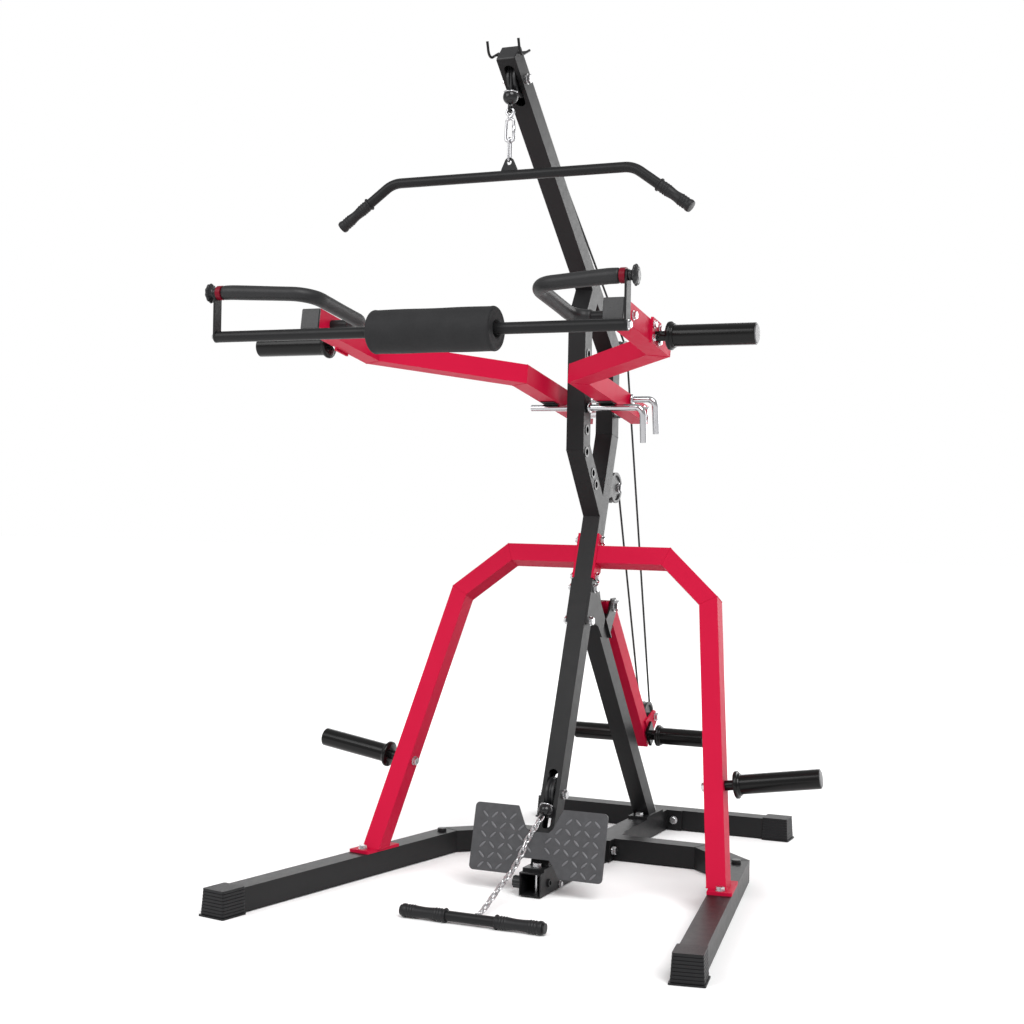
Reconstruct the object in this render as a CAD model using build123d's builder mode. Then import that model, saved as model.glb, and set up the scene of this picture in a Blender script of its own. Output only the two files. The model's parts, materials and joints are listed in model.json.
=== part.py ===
from build123d import *
import os
from math import cos, hypot, radians, sin

os.makedirs("parts", exist_ok=True)

# Multi station home gym: a leverage press with jammer arms, a lat tower and a low row.
# Millimetres, +Z up, +Y to the back, the front of the gym faces -Y.
# The origin is on the floor, under the middle of the base beam's open front end.

# ---------------------------------------------------------------- driving sizes
TUBE = 50.0  # square tube of the mast, tower, arch, arms and lever
BASE = 60.0  # square tube of the base
WALL = 3.0  # wall of every square tube
LIFT = 3.0  # the rubber boots hold the base tubes this far off the floor
HALF = TUBE / 2
BASE_HALF = BASE / 2
BASE_MID = LIFT + BASE_HALF
BASE_TOP = LIFT + BASE
FLANGE = 8.0  # thickness of the bolted flanges
PLATE = 6.0  # thickness of the side plates

BEAM_LENGTH = 1018.0  # base beam, front end to rear flange
REAR_HALF = 406.0  # half the length of the rear crossbeam
LEG_Y = 549.0  # centre of the front legs' first section
MAST_FOOT = (88.0, BASE_TOP + FLANGE)  # (y, z) of the mast's centre line at the base
KINK_LOW = (500.0, 1208.0)  # the leaning mast turns upright here
KINK_HIGH = (500.0, 1455.0)  # and leans forward from here as the lat tower
TOWER_TOP = (-228.0, 2102.0)
POST_Y = 280.0  # upright run of the pin post in front of the mast
POST_LOW = (POST_Y, 1166.0)
POST_HIGH = (POST_Y, 1514.0)

PIVOT = (500.0, 1275.5)  # (y, z) axis of the press arms
ARM_TILT = 9.3  # degrees the arms rise to the front at rest
ARM_X = 83.0  # centre of an arm's rear section
ARM_OUT_X = 383.0  # centre of its front section
GRIP_U = 1232.0  # distance of the grip's outer end in front of the pivot
PIN_R = 9.0
PIN_HOLE_R = 13.0
REST_PIN = (POST_Y, 1274.0)
LINK_PIN_U = 118.0  # the linking pin, in front of the pivot and above the arm's centre
LINK_PIN_W = 8.0

LEVER_PIVOT = (497.0, 727.0)
LEVER_ANGLE = 39.7  # degrees from upright, at rest on the bumper
LEVER_LENGTH = 556.0
PULLEY_R = 44.0  # rim radius of all five pulleys
CABLE_R = 3.0
WRAP_R = 41.0  # centre of the cable on a pulley
PULLEY_W = 22.0
AXLE_R = 6.0
FIT = 0.05  # radial clearance of a shaft in its hole
GAP = 0.4  # clearance between a cable and what it runs on
TOP_PULLEY = (-170.0, 2052.0)
GUIDE_PULLEY = (615.0, 1445.0)
LEVER_PULLEY = (882.0, 370.0)
BACK_PULLEY = (558.0, 1062.0)
LOW_PULLEY = (161.0, 243.0)

SLEEVE_R = 25.0  # plate horns take discs with a 50 mm hole
BAR_R = 12.5
LAT_Y = TOP_PULLEY[0] - WRAP_R
LAT_BAR_Z = 1809.0


# ---------------------------------------------------------------- shared shapes
def unit(a, b):
    length = hypot(b[0] - a[0], b[1] - a[1])
    return ((b[0] - a[0]) / length, (b[1] - a[1]) / length)


def mitred(points, half, before=None, after=None):
    """Outline of a strip along a bent line, mitred at each bend, square at free ends."""
    run = [before] * (before is not None) + list(points) + [after] * (after is not None)
    first = 1 if before is not None else 0
    left, right = [], []
    for i in range(first, first + len(points)):
        into = unit(run[i - 1], run[i]) if i > 0 else unit(run[i], run[i + 1])
        out = unit(run[i], run[i + 1]) if i < len(run) - 1 else into
        nx, ny = -(into[1] + out[1]), into[0] + out[0]
        size = hypot(nx, ny)
        nx, ny = nx / size, ny / size
        reach = half / (nx * -into[1] + ny * into[0])
        left.append((run[i][0] + nx * reach, run[i][1] + ny * reach))
        right.append((run[i][0] - nx * reach, run[i][1] - ny * reach))
    return left + right[::-1]


def strip_solid(plane, points, half, depth_half, **ends):
    """A solid bar of a bent outline, as deep on both sides of its plane."""
    with BuildPart() as bar:
        with BuildSketch(plane):
            with BuildLine():
                Polyline(*mitred(points, half, **ends), close=True)
            make_face()
        extrude(amount=depth_half, both=True)
    return bar.part


def square_tube(plane, points, half, wall=WALL, **ends):
    """A bent square tube, open at both ends."""
    outer = strip_solid(plane, points, half, half, **ends)
    inner = strip_solid(plane, points, half - wall, half - wall, **ends)
    return outer - inner


def round_bar(a, b, radius, bore=0.0):
    """A round bar, or a pipe, between two points."""
    axis = Vector(*b) - Vector(*a)
    with BuildPart() as bar:
        with BuildSketch(Plane(origin=a, z_dir=axis)):
            Circle(radius)
            if bore:
                Circle(bore, mode=Mode.SUBTRACT)
        extrude(amount=axis.length)
    return bar.part


def swept_rod(points, bend, radius, bore=0.0):
    """A round rod along straight runs joined by arcs."""
    bends = bend if isinstance(bend, (list, tuple)) else [bend] * (len(points) - 2)
    with BuildPart() as rod:
        with BuildLine() as path:
            FilletPolyline(*points, radius=bends)
        with BuildSketch(path.line ^ 0):
            Circle(radius)
            if bore:
                Circle(bore, mode=Mode.SUBTRACT)
        sweep()
    return rod.part


def hex_bolt(point, axis, size, length, head=True):
    """A bolt seen from outside: washer, hexagon and the end of the shank."""
    washer = size * 0.2
    with BuildPart() as bolt:
        with BuildSketch(Plane(origin=point, z_dir=axis)):
            Circle(size * 1.05)
        extrude(amount=washer)
        with BuildSketch(Plane(origin=point, z_dir=axis).offset(washer)):
            RegularPolygon(size * 0.95, 6)
        extrude(amount=size * 0.7)
        chamfer(bolt.faces().sort_by(Axis(point, axis))[-1].edges(), size * 0.09)
        if not head:
            with BuildSketch(Plane(origin=point, z_dir=axis).offset(washer + size * 0.7)):
                Circle(size * 0.5)
            extrude(amount=size * 0.3)
        with BuildSketch(Plane(origin=point, z_dir=axis)):
            Circle(size * 0.5)
        extrude(amount=-length)
    return bolt.part


def cross_bolt(y, z, half_width, size=12.0):
    """A bolt along X through a member, with its head on the right and its nut on the left."""
    head = hex_bolt((half_width, y, z), (1, 0, 0), size, 2 * half_width)
    nut = hex_bolt((-half_width, y, z), (-1, 0, 0), size, 0.5, head=False)
    return head + nut


def yz_polygon(points, x_from, x_to):
    """A flat plate of the given side view, between two places along X."""
    with BuildPart() as plate:
        with BuildSketch(Plane.YZ.offset(x_from)):
            with BuildLine():
                Polyline(*points, close=True)
            make_face()
        extrude(amount=x_to - x_from)
    return plate.part


def slab(size, centre):
    """A plain rectangular block for flanges and cuts."""
    with BuildPart() as block:
        with Locations(centre):
            Box(*size)
    return block.part


def save(part, name):
    part.label = name
    export_step(part, f"parts/{name}.step")


def both_sides(part, name):
    """Write a right-hand piece and its mirror image."""
    save(part, f"{name}_right")
    save(mirror(part, about=Plane.YZ), f"{name}_left")


def mirrored_pair(part):
    """A right-hand piece and its mirror image, as two solids of one node."""
    return Part(Compound([part.solids()[0], mirror(part, about=Plane.YZ).solids()[0]]).wrapped)


def along(start, direction, distance):
    return (start[0] + direction[0] * distance, start[1] + direction[1] * distance)


# ---------------------------------------------------------------- base
RECEIVER_BOLT_Y = 46.0
RECEIVER_BOSS = (54.5, 31.0)  # (y, z)
STOP_SCREW = (131.0, 13.0)
LOCK_KNOB_Y = 22.0
KNOB_STEM_R = 7.0
REAR_FLANGE_HALF = 78.0
REAR_BOLT_X = 52.0
LEG_BOLTS_Y = (LEG_Y - 49.0, LEG_Y + 49.0)
LEG_FLANGE_HALF = 66.0
STRUT_FLANGE_Y = (826.0, 978.0)
STRUT_BOLTS_Y = (842.0, 960.0)
MAST_FLANGE_Y = (22.0, 168.0)
MAST_BOLTS_Y = (RECEIVER_BOLT_Y, 152.0)
M12 = 12.0

BOLT_HOLE = M12 / 2 + FIT


def z_hole(x, y, top=BASE_TOP + 20, bottom=BASE_TOP - 15):
    return round_bar((x, y, bottom), (x, y, top), BOLT_HOLE)


with BuildPart() as base_beam:
    add(square_tube(Plane.YZ, [(0, BASE_MID), (BEAM_LENGTH, BASE_MID)], BASE_HALF))
    with BuildSketch(Plane.YZ.offset(BASE_HALF)):
        with Locations(RECEIVER_BOSS):
            Circle(11)
            Circle(6, mode=Mode.SUBTRACT)
    extrude(amount=5)
    for y in STRUT_BOLTS_Y + MAST_BOLTS_Y:
        add(z_hole(0, y), mode=Mode.SUBTRACT)
    for y in LEG_BOLTS_Y:
        add(round_bar((-50, y, BASE_MID), (50, y, BASE_MID), BOLT_HOLE), mode=Mode.SUBTRACT)
    add(round_bar((20, *STOP_SCREW), (40, *STOP_SCREW), 4 + FIT), mode=Mode.SUBTRACT)
    add(slab((2 * REAR_FLANGE_HALF, FLANGE, BASE), (0, BEAM_LENGTH + FLANGE / 2, BASE_MID)))
    with Locations((0, RECEIVER_BOLT_Y, BASE_MID)):
        Cylinder(M12 / 2 + FIT, BASE + 2, mode=Mode.SUBTRACT)
    for side in (-1, 1):
        with Locations((side * REAR_BOLT_X, BEAM_LENGTH, BASE_MID)):
            Cylinder(BOLT_HOLE, 4 * FLANGE, rotation=(90, 0, 0), mode=Mode.SUBTRACT)
    with BuildSketch(Plane.YZ.offset(-BASE_HALF - 1)):
        with Locations((LOCK_KNOB_Y, BASE_MID)):
            Circle(KNOB_STEM_R + FIT)
    extrude(amount=WALL + 2, mode=Mode.SUBTRACT)
save(base_beam.part, "base_beam")

REAR_Y = BEAM_LENGTH + FLANGE + BASE_HALF
with BuildPart() as rear_crossbeam:
    add(square_tube(Plane.XY.offset(BASE_MID), [(-REAR_HALF, REAR_Y), (REAR_HALF, REAR_Y)], BASE_HALF))
    for side in (-1, 1):
        with Locations((side * REAR_BOLT_X, REAR_Y - BASE_HALF, BASE_MID)):
            Cylinder(BOLT_HOLE, 30, rotation=(90, 0, 0), mode=Mode.SUBTRACT)
save(rear_crossbeam.part, "rear_crossbeam")

# Right front leg seen from above: out, forward and out, then forward
LEG_START = BASE_HALF + FLANGE
LEG_RUN = [(LEG_START, LEG_Y), (289, LEG_Y), (430, 415), (594.7, -541)]
PLUG = (437.0, 375.0)
PLUG_HEIGHT = 10.0
ARCH_FOOT_Y = 68.0
ARCH_FOOT_BOLTS = (-50.0, 50.0)  # along the leg, from the middle of the arch's foot


def on_leg(y):
    """Centre of the front leg's long run at a distance along Y."""
    (x0, y0), (x1, y1) = LEG_RUN[2], LEG_RUN[3]
    return (x0 + (x1 - x0) * (y - y0) / (y1 - y0), y)


LEG_END_DIR = unit(LEG_RUN[2], LEG_RUN[3])
FOOT_BOLT_POINTS = [along(on_leg(ARCH_FOOT_Y), LEG_END_DIR, reach) for reach in ARCH_FOOT_BOLTS]
with BuildPart() as front_leg:
    add(square_tube(Plane.XY.offset(BASE_MID), LEG_RUN, BASE_HALF))
    add(slab((FLANGE, 2 * LEG_FLANGE_HALF, BASE), (BASE_HALF + FLANGE / 2, LEG_Y, BASE_MID)))
    for y in LEG_BOLTS_Y:
        add(round_bar((20, y, BASE_MID), (50, y, BASE_MID), BOLT_HOLE), mode=Mode.SUBTRACT)
    for point in FOOT_BOLT_POINTS:
        add(z_hole(*point), mode=Mode.SUBTRACT)
both_sides(front_leg.part, "front_leg")

with BuildPart() as leg_plug:
    with BuildSketch(Plane.XY.offset(BASE_TOP)):
        with Locations(PLUG):
            Circle(13)
    extrude(amount=PLUG_HEIGHT)
    fillet(leg_plug.faces().sort_by(Axis.Z)[-1].edges(), 2.5)

BOOT_WALL = 4.0
BOOT_LENGTH = 76.0
BOOT_TOP = BASE_TOP + BOOT_WALL
BOOT_RIBS = 8
BOOT_FLARE = 3.0  # the boot widens this much from its top rib to its lowest
BOOT_RIM = (6.5, 4.0)  # reach and height of the rim that stands on the floor
BOOT_CORNER = 4.0
RIB_GROOVE = 1.5  # depth and height of the grooves between the ribs


def boot(end, direction):
    """A ribbed rubber boot over the end of a base tube; end is where the tube stops."""
    side = (direction[1], -direction[0])
    frame = Plane(origin=(*along(end, direction, BOOT_WALL), 0), x_dir=(*side, 0), z_dir=(0, 0, 1))
    half = BASE_HALF + BOOT_WALL
    rib = (BOOT_TOP - BOOT_RIM[1]) / BOOT_RIBS
    layers = [(0, *BOOT_RIM)]
    for i in range(BOOT_RIBS):
        low = BOOT_RIM[1] + i * rib
        reach = BOOT_FLARE * (1 - i / (BOOT_RIBS - 1))
        layers.append((low, reach - RIB_GROOVE, RIB_GROOVE))
        layers.append((low + RIB_GROOVE, reach, rib - RIB_GROOVE))
    with BuildPart() as rubber:
        for low, reach, height in layers:
            with BuildSketch(frame.offset(low)):
                with Locations((0, (reach - BOOT_LENGTH) / 2)):
                    RectangleRounded(2 * (half + reach), BOOT_LENGTH + reach, BOOT_CORNER)
            extrude(amount=height)
    pocket = slab((BASE, BOOT_LENGTH, BASE), (0, -BOOT_WALL - BOOT_LENGTH / 2, BASE_MID))
    return rubber.part - frame.location * pocket


front_boot = boot(LEG_RUN[3], LEG_END_DIR)
rear_boot = boot((REAR_HALF, REAR_Y), (1.0, 0.0))
boots = [solid for piece in (front_boot, rear_boot) for solid in mirrored_pair(piece).solids()]
save(Part(Compound(boots).wrapped), "base_boots")

# ---------------------------------------------------------------- mast, pin post and lat tower
MAST_DIR = unit(MAST_FOOT, KINK_LOW)
TOWER_DIR = unit(KINK_HIGH, TOWER_TOP)
PULLEY_SLOT = PULLEY_W + 5
SLOT_LENGTH = 2 * PULLEY_R + 30


def pulley_slot(centre, direction, extra=0.0):
    """The round ended cut through the front and back walls that lets a pulley stand inside a tube."""
    across = (0, direction[1], -direction[0])
    with BuildPart() as cut:
        with BuildSketch(Plane(origin=(0, *centre), x_dir=(0, *direction), z_dir=across)):
            with Locations((-extra / 2, 0)):
                SlotOverall(SLOT_LENGTH + extra, PULLEY_SLOT)
        extrude(amount=TUBE, both=True)
    return cut.part


def x_hole(y, z, radius, half_width=HALF + 10):
    return round_bar((-half_width, y, z), (half_width, y, z), radius)


def mast_at(z):
    """Centre of the leaning mast at a height."""
    return along(MAST_FOOT, MAST_DIR, (z - MAST_FOOT[1]) / MAST_DIR[1])


ARCH_BOLTS_Z = (912.0, 812.0)
STRUT_PLATE_BOLTS_Z = (782.0, 694.0)
FOOT_PLATE_BOLT_Z = 128.0
ROW_SLOT = 40.0  # the low pulley's slot runs this much further down, as a seat for the row ball
mast_tube = square_tube(Plane.YZ, [MAST_FOOT, KINK_LOW, KINK_HIGH], HALF, after=TOWER_TOP)
mast_level_cut = slab((200, 200, 40), (0, MAST_FOOT[0], MAST_FOOT[1] - 20))
mast_reach = strip_solid(
    Plane.YZ, [along(MAST_FOOT, MAST_DIR, -20), along(MAST_FOOT, MAST_DIR, 30)], HALF, HALF
) - strip_solid(
    Plane.YZ, [along(MAST_FOOT, MAST_DIR, -20), along(MAST_FOOT, MAST_DIR, 30)], HALF - WALL, HALF - WALL
)
with BuildPart() as mast:
    add(mast_tube)
    add(mast_reach)
    add(mast_level_cut, mode=Mode.SUBTRACT)
    flange_mid = sum(MAST_FLANGE_Y) / 2
    flange_size = (BASE, MAST_FLANGE_Y[1] - MAST_FLANGE_Y[0], FLANGE)
    add(slab(flange_size, (0, flange_mid, BASE_TOP + FLANGE / 2)))
    for y in MAST_BOLTS_Y:
        add(z_hole(0, y), mode=Mode.SUBTRACT)
    add(pulley_slot(LOW_PULLEY, MAST_DIR, ROW_SLOT), mode=Mode.SUBTRACT)
    add(x_hole(*LOW_PULLEY, AXLE_R + FIT), mode=Mode.SUBTRACT)
    add(x_hole(*PIVOT, 12 + FIT), mode=Mode.SUBTRACT)
    for height in ARCH_BOLTS_Z + STRUT_PLATE_BOLTS_Z + (FOOT_PLATE_BOLT_Z,):
        add(x_hole(*mast_at(height), M12 / 2 + FIT), mode=Mode.SUBTRACT)
save(mast.part, "mast")

# Two rod hooks at the tower's top hang a bar that isn't in use
HOOK_X = 41.0
HOOK_R = 3.2
HOOK_RUN = [(-196.0, 2114.0), (-251.0, 2085.6), (-264.0, 2126.0)]
HOOK_WELD = (-212.0, 2105.7)
with BuildPart() as lat_tower:
    add(square_tube(Plane.YZ, [KINK_HIGH, TOWER_TOP], HALF, before=KINK_LOW))
    add(pulley_slot(TOP_PULLEY, TOWER_DIR), mode=Mode.SUBTRACT)
    add(x_hole(*TOP_PULLEY, AXLE_R + FIT), mode=Mode.SUBTRACT)
    for side in (-1, 1):
        add(swept_rod([(side * HOOK_X, *point) for point in HOOK_RUN], 18, HOOK_R))
        add(round_bar((side * (HALF - 1), *HOOK_WELD), (side * HOOK_X, *HOOK_WELD), HOOK_R))
save(lat_tower.part, "lat_tower")

with BuildPart() as tower_cap:
    cap_plane = Plane(origin=(0, *TOWER_TOP), x_dir=(1, 0, 0), z_dir=(0, *TOWER_DIR))
    with BuildSketch(cap_plane):
        RectangleRounded(TUBE, TUBE, 3)
    extrude(amount=4)
    chamfer(tower_cap.faces().sort_by(Axis((0, *TOWER_TOP), (0, *TOWER_DIR)))[-1].edges(), 2)
    with BuildSketch(cap_plane):
        RectangleRounded(TUBE - 2 * WALL - 1, TUBE - 2 * WALL - 1, 2)
    extrude(amount=-15)
plugs = [leg_plug.part.solids()[0], mirror(leg_plug.part, about=Plane.YZ).solids()[0]]
save(Part(Compound(plugs + [tower_cap.part.solids()[0]]).wrapped), "tube_plugs")

# The pin post: up from the mast, upright, then back to the tower's underside
POST_HOLES_Z = (1154.0, 1214.0, REST_PIN[1], 1347.0, 1420.0)
POST_LOW_DIR = unit(POST_LOW, (410.9, 994.1))
POST_LOW_HOLES = (85.0, 125.0)
POST_RUN = [(440, 955.6), POST_LOW, POST_HIGH, (350, 1626.5)]
mast_envelope = strip_solid(Plane.YZ, [MAST_FOOT, KINK_LOW, KINK_HIGH, TOWER_TOP], HALF, HALF + 5)
with BuildPart() as pin_post:
    add(square_tube(Plane.YZ, POST_RUN, HALF))
    add(mast_envelope, mode=Mode.SUBTRACT)
    for height in POST_HOLES_Z:
        add(x_hole(POST_Y, height, PIN_HOLE_R), mode=Mode.SUBTRACT)
    for reach in POST_LOW_HOLES:
        add(x_hole(*along(POST_LOW, POST_LOW_DIR, reach), PIN_HOLE_R), mode=Mode.SUBTRACT)
post_solids = pin_post.part.solids().sort_by(SortBy.VOLUME)
save(Part(post_solids[-1].wrapped), "pin_post")

BUSH_FLANGE = (14.5, 1.5)  # radius and thickness
post_holes = [(POST_Y, height) for height in POST_HOLES_Z]
post_holes += [along(POST_LOW, POST_LOW_DIR, reach) for reach in POST_LOW_HOLES]
with BuildPart() as pin_bushes:
    for side in (-1, 1):
        with BuildSketch(Plane.YZ.offset(side * (HALF - WALL))):
            with Locations(*post_holes):
                Circle(PIN_HOLE_R)
                Circle(PIN_R + FIT, mode=Mode.SUBTRACT)
        extrude(amount=side * WALL)
        with BuildSketch(Plane.YZ.offset(side * HALF)):
            with Locations(*post_holes):
                Circle(BUSH_FLANGE[0])
                Circle(PIN_R + FIT, mode=Mode.SUBTRACT)
        extrude(amount=side * BUSH_FLANGE[1])
save(pin_bushes.part, "pin_bushes")

# ---------------------------------------------------------------- arch and plate storage
ARCH_PLANE = Plane(origin=(0, 58.9, 66), x_dir=(1, 0, 0), z_dir=(0, -0.9285, 0.3714))
SIDE_PLATE_X = HALF + PLATE
ARCH_RUN = [(SIDE_PLATE_X, 862), (231, 862), (365, 742), (489, -40)]
ARCH_LEG_DIR = unit(ARCH_RUN[2], ARCH_RUN[3])
ARCH_OUT = (-ARCH_LEG_DIR[1], ARCH_LEG_DIR[0])
ARCH_PLATE_Z = (803.0, 924.0)
ARCH_FOOT_SIZE = (62.0, 137.0, FLANGE)
STORAGE_V = 254.0  # height of the plate storage up the arch's leg
STORAGE_NECK = 27.0
STORAGE_SLEEVE = 208.0


def mast_strip(z_low, z_high, half):
    """Side view of a plate that follows the mast."""
    side = (MAST_DIR[1], -MAST_DIR[0])
    low, high = mast_at(z_low), mast_at(z_high)
    return [along(low, side, -half), along(low, side, half), along(high, side, half), along(high, side, -half)]


def leg_foot(thickness, z):
    """The arch's foot flange, turned with the leg under it."""
    x_dir = (-LEG_END_DIR[1], LEG_END_DIR[0], 0)
    plane = Plane(origin=(*on_leg(ARCH_FOOT_Y), z), x_dir=x_dir, z_dir=(0, 0, 1))
    return plane.location * slab(ARCH_FOOT_SIZE, (0, 0, thickness / 2))


leg_mid = along(ARCH_RUN[2], ARCH_LEG_DIR, (ARCH_RUN[2][1] - STORAGE_V) / -ARCH_LEG_DIR[1])
storage_start = ARCH_PLANE.from_local_coords(Vector(*along(leg_mid, ARCH_OUT, HALF), 0))
storage_inner = ARCH_PLANE.from_local_coords(Vector(*along(leg_mid, ARCH_OUT, -HALF), 0))
storage_axis = ARCH_PLANE.from_local_coords(Vector(*ARCH_OUT, 0)) - ARCH_PLANE.origin
with BuildPart() as arch:
    add(square_tube(ARCH_PLANE, ARCH_RUN, HALF))
    below_foot = (ARCH_RUN[3][0], ARCH_PLANE.origin.Y, BASE_TOP + FLANGE - 40)
    add(slab((300, 300, 80), below_foot), mode=Mode.SUBTRACT)
    add(leg_foot(FLANGE, BASE_TOP))
    add(yz_polygon(mast_strip(*ARCH_PLATE_Z, HALF), HALF, SIDE_PLATE_X))
    for height in ARCH_BOLTS_Z:
        add(x_hole(*mast_at(height), BOLT_HOLE), mode=Mode.SUBTRACT)
    for point in FOOT_BOLT_POINTS:
        add(z_hole(*point), mode=Mode.SUBTRACT)
    inner_hole = storage_inner + storage_axis * (WALL + 5)
    add(round_bar(storage_inner - storage_axis * 5, inner_hole, BOLT_HOLE), mode=Mode.SUBTRACT)
both_sides(arch.part, "arch")


def plate_horn(start, axis, neck, neck_r, flange_r, sleeve):
    """A plate horn: neck, stop flange and a hollow sleeve closed by a disc at its end."""
    disc, tube_wall, drain = 3.0, 4.0, 3.0
    back, front = neck + FLANGE, neck + FLANGE + sleeve
    outline = [
        (0, 0), (0, neck_r), (neck, neck_r), (neck, flange_r - 2), (neck + 2, flange_r),
        (back - 2, flange_r), (back, flange_r - 2), (back, SLEEVE_R), (front - 1.5, SLEEVE_R),
        (front, SLEEVE_R - 1.5), (front, drain), (front - disc, drain),
        (front - disc, SLEEVE_R - tube_wall), (back, SLEEVE_R - tube_wall), (back, 0),
    ]
    side = Vector(0, 1, 0).cross(Vector(axis)).normalized()
    plane = Plane(origin=start, x_dir=axis, z_dir=side)
    with BuildPart() as horn:
        with BuildSketch(plane):
            with BuildLine():
                Polyline(*outline, close=True)
            make_face()
        revolve(axis=Axis(start, axis))
    return horn.part


storage_horn = plate_horn(storage_start, storage_axis, STORAGE_NECK, 13, 34, STORAGE_SLEEVE)
save(mirrored_pair(storage_horn), "storage_horns")

# ---------------------------------------------------------------- rear strut
STRUT_TOP = (410.0, 682.0)
STRUT_FOOT = (895.0, 68.0)
STRUT_DIR = unit(STRUT_TOP, STRUT_FOOT)
STRUT_UP = (-STRUT_DIR[1], STRUT_DIR[0])
CABLE_ROOM = 40.0  # space for the cable between the mast's back and the strut's upper end


def on_strut(reach, rise):
    """A point along the strut's upper face and above it."""
    return along(along(STRUT_TOP, STRUT_DIR, reach), STRUT_UP, HALF + rise)


PLATE_TOP_Z = 800.0
STRUT_PLATE = [(338, 688), (287, 690), *mast_strip(700, PLATE_TOP_Z, HALF)[:1:-1]]
STRUT_PLATE += [on_strut(-50, 0), on_strut(4, 0), on_strut(30, -TUBE), (377, 676)]
strut_line = [along(STRUT_TOP, STRUT_DIR, -150), along(STRUT_FOOT, STRUT_DIR, 60)]
with BuildPart() as rear_strut:
    add(square_tube(Plane.YZ, strut_line, HALF))
    add(yz_polygon(mast_strip(400, 1200, HALF + CABLE_ROOM), -HALF - 1, HALF + 1), mode=Mode.SUBTRACT)
    add(slab((200, 400, 120), (0, STRUT_FOOT[0], BASE_TOP + FLANGE - 60)), mode=Mode.SUBTRACT)
    strut_flange_mid = sum(STRUT_FLANGE_Y) / 2
    strut_flange = (BASE, STRUT_FLANGE_Y[1] - STRUT_FLANGE_Y[0], FLANGE)
    add(slab(strut_flange, (0, strut_flange_mid, BASE_TOP + FLANGE / 2)))
    add(yz_polygon(STRUT_PLATE, HALF, SIDE_PLATE_X))
    add(yz_polygon(STRUT_PLATE, -SIDE_PLATE_X, -HALF))
    for height in STRUT_PLATE_BOLTS_Z:
        add(x_hole(*mast_at(height), BOLT_HOLE), mode=Mode.SUBTRACT)
    for y in STRUT_BOLTS_Y:
        add(z_hole(0, y), mode=Mode.SUBTRACT)
save(rear_strut.part, "rear_strut")

# ---------------------------------------------------------------- lever bracket and its rubber stop
LEVER_DIR = (sin(radians(LEVER_ANGLE)), -cos(radians(LEVER_ANGLE)))
LEVER_UP = (-LEVER_DIR[1], LEVER_DIR[0])
LEVER_BOLT = 16.0
EAR_IN = 28.0
EAR_OUT = 33.0
SADDLE = 5.0


def on_lever(reach, rise=0.0):
    """A point along the lever from its pivot, and behind its centre line."""
    return along(along(LEVER_PIVOT, LEVER_DIR, reach), LEVER_UP, rise)


EAR = [on_strut(8, 0), on_strut(8, 30), (478, 748), (508, 749), (519, 738), (519, 716), on_strut(62, 0)]
with BuildPart() as lever_bracket:
    for x_from in (-EAR_OUT, EAR_IN):
        add(yz_polygon(EAR, x_from, x_from + EAR_OUT - EAR_IN))
    saddle = [on_strut(8, 0), on_strut(8, SADDLE), on_strut(78, SADDLE), on_strut(78, 0)]
    add(yz_polygon(saddle, -EAR_OUT, EAR_OUT))
    add(x_hole(*LEVER_PIVOT, LEVER_BOLT / 2 + FIT, EAR_OUT + 5), mode=Mode.SUBTRACT)
save(lever_bracket.part, "lever_bracket")

bumper_side = [on_strut(20, SADDLE), on_lever(8, -HALF - GAP), on_lever(60, -HALF - GAP), on_strut(74, SADDLE)]
with BuildPart() as lever_bumper:
    add(yz_polygon(bumper_side, -22, 22))
save(lever_bumper.part, "lever_bumper")

# ---------------------------------------------------------------- foot plate
FOOT_HALF = 186.0
FOOT_THICK = 5.0
FOOT_TOP = (67.0, 221.0)
FOOT_LOW = (26.0, 50.0)
FOOT_DIR = unit(FOOT_LOW, FOOT_TOP)
FOOT_PLANE = Plane(origin=(0, *FOOT_LOW), x_dir=(1, 0, 0), z_dir=(0, -FOOT_DIR[1], FOOT_DIR[0]))
FOOT_LENGTH = hypot(FOOT_TOP[0] - FOOT_LOW[0], FOOT_TOP[1] - FOOT_LOW[1])
FOOT_OUTLINE = [
    (38, 44), (70, 0), (FOOT_HALF, 0), (FOOT_HALF, FOOT_LENGTH), (64, FOOT_LENGTH),
    (39, FOOT_LENGTH - 52), (28, 113),
]
FOOT_CORNER = 12.0
with BuildPart() as foot_plate:
    with BuildSketch(FOOT_PLANE) as foot_face:
        with BuildLine():
            Polyline(*FOOT_OUTLINE, *[(-x, y) for x, y in FOOT_OUTLINE[::-1]], close=True)
        make_face()
        fillet([corner for corner in foot_face.vertices() if abs(corner.X) > FOOT_HALF - 1], FOOT_CORNER)
    extrude(amount=-FOOT_THICK)
    gusset = [(43, 100), (56, 153), mast_at(153), along(mast_at(106), MAST_DIR, 0), (60, 98)]
    add(yz_polygon(gusset, HALF, SIDE_PLATE_X))
    add(yz_polygon(gusset, -SIDE_PLATE_X, -HALF))
    add(x_hole(*mast_at(FOOT_PLATE_BOLT_Z), BOLT_HOLE), mode=Mode.SUBTRACT)
save(foot_plate.part, "foot_plate")

# ---------------------------------------------------------------- pulleys, their brackets and axles
TUBE_HUB = 21.5  # half width of a hub between the walls of a tube
HUB_R = 11.0
BRACKET_IN = 13.0  # the two guide brackets are plates close on both sides of their pulley
BRACKET_OUT = 17.0
BRACKET_HUB = BRACKET_IN - GAP
WEB_R = (36.0, 33.0)  # the pulley's side steps down from the rim to a thin web here
WEB_HALF = 6.0


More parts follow.
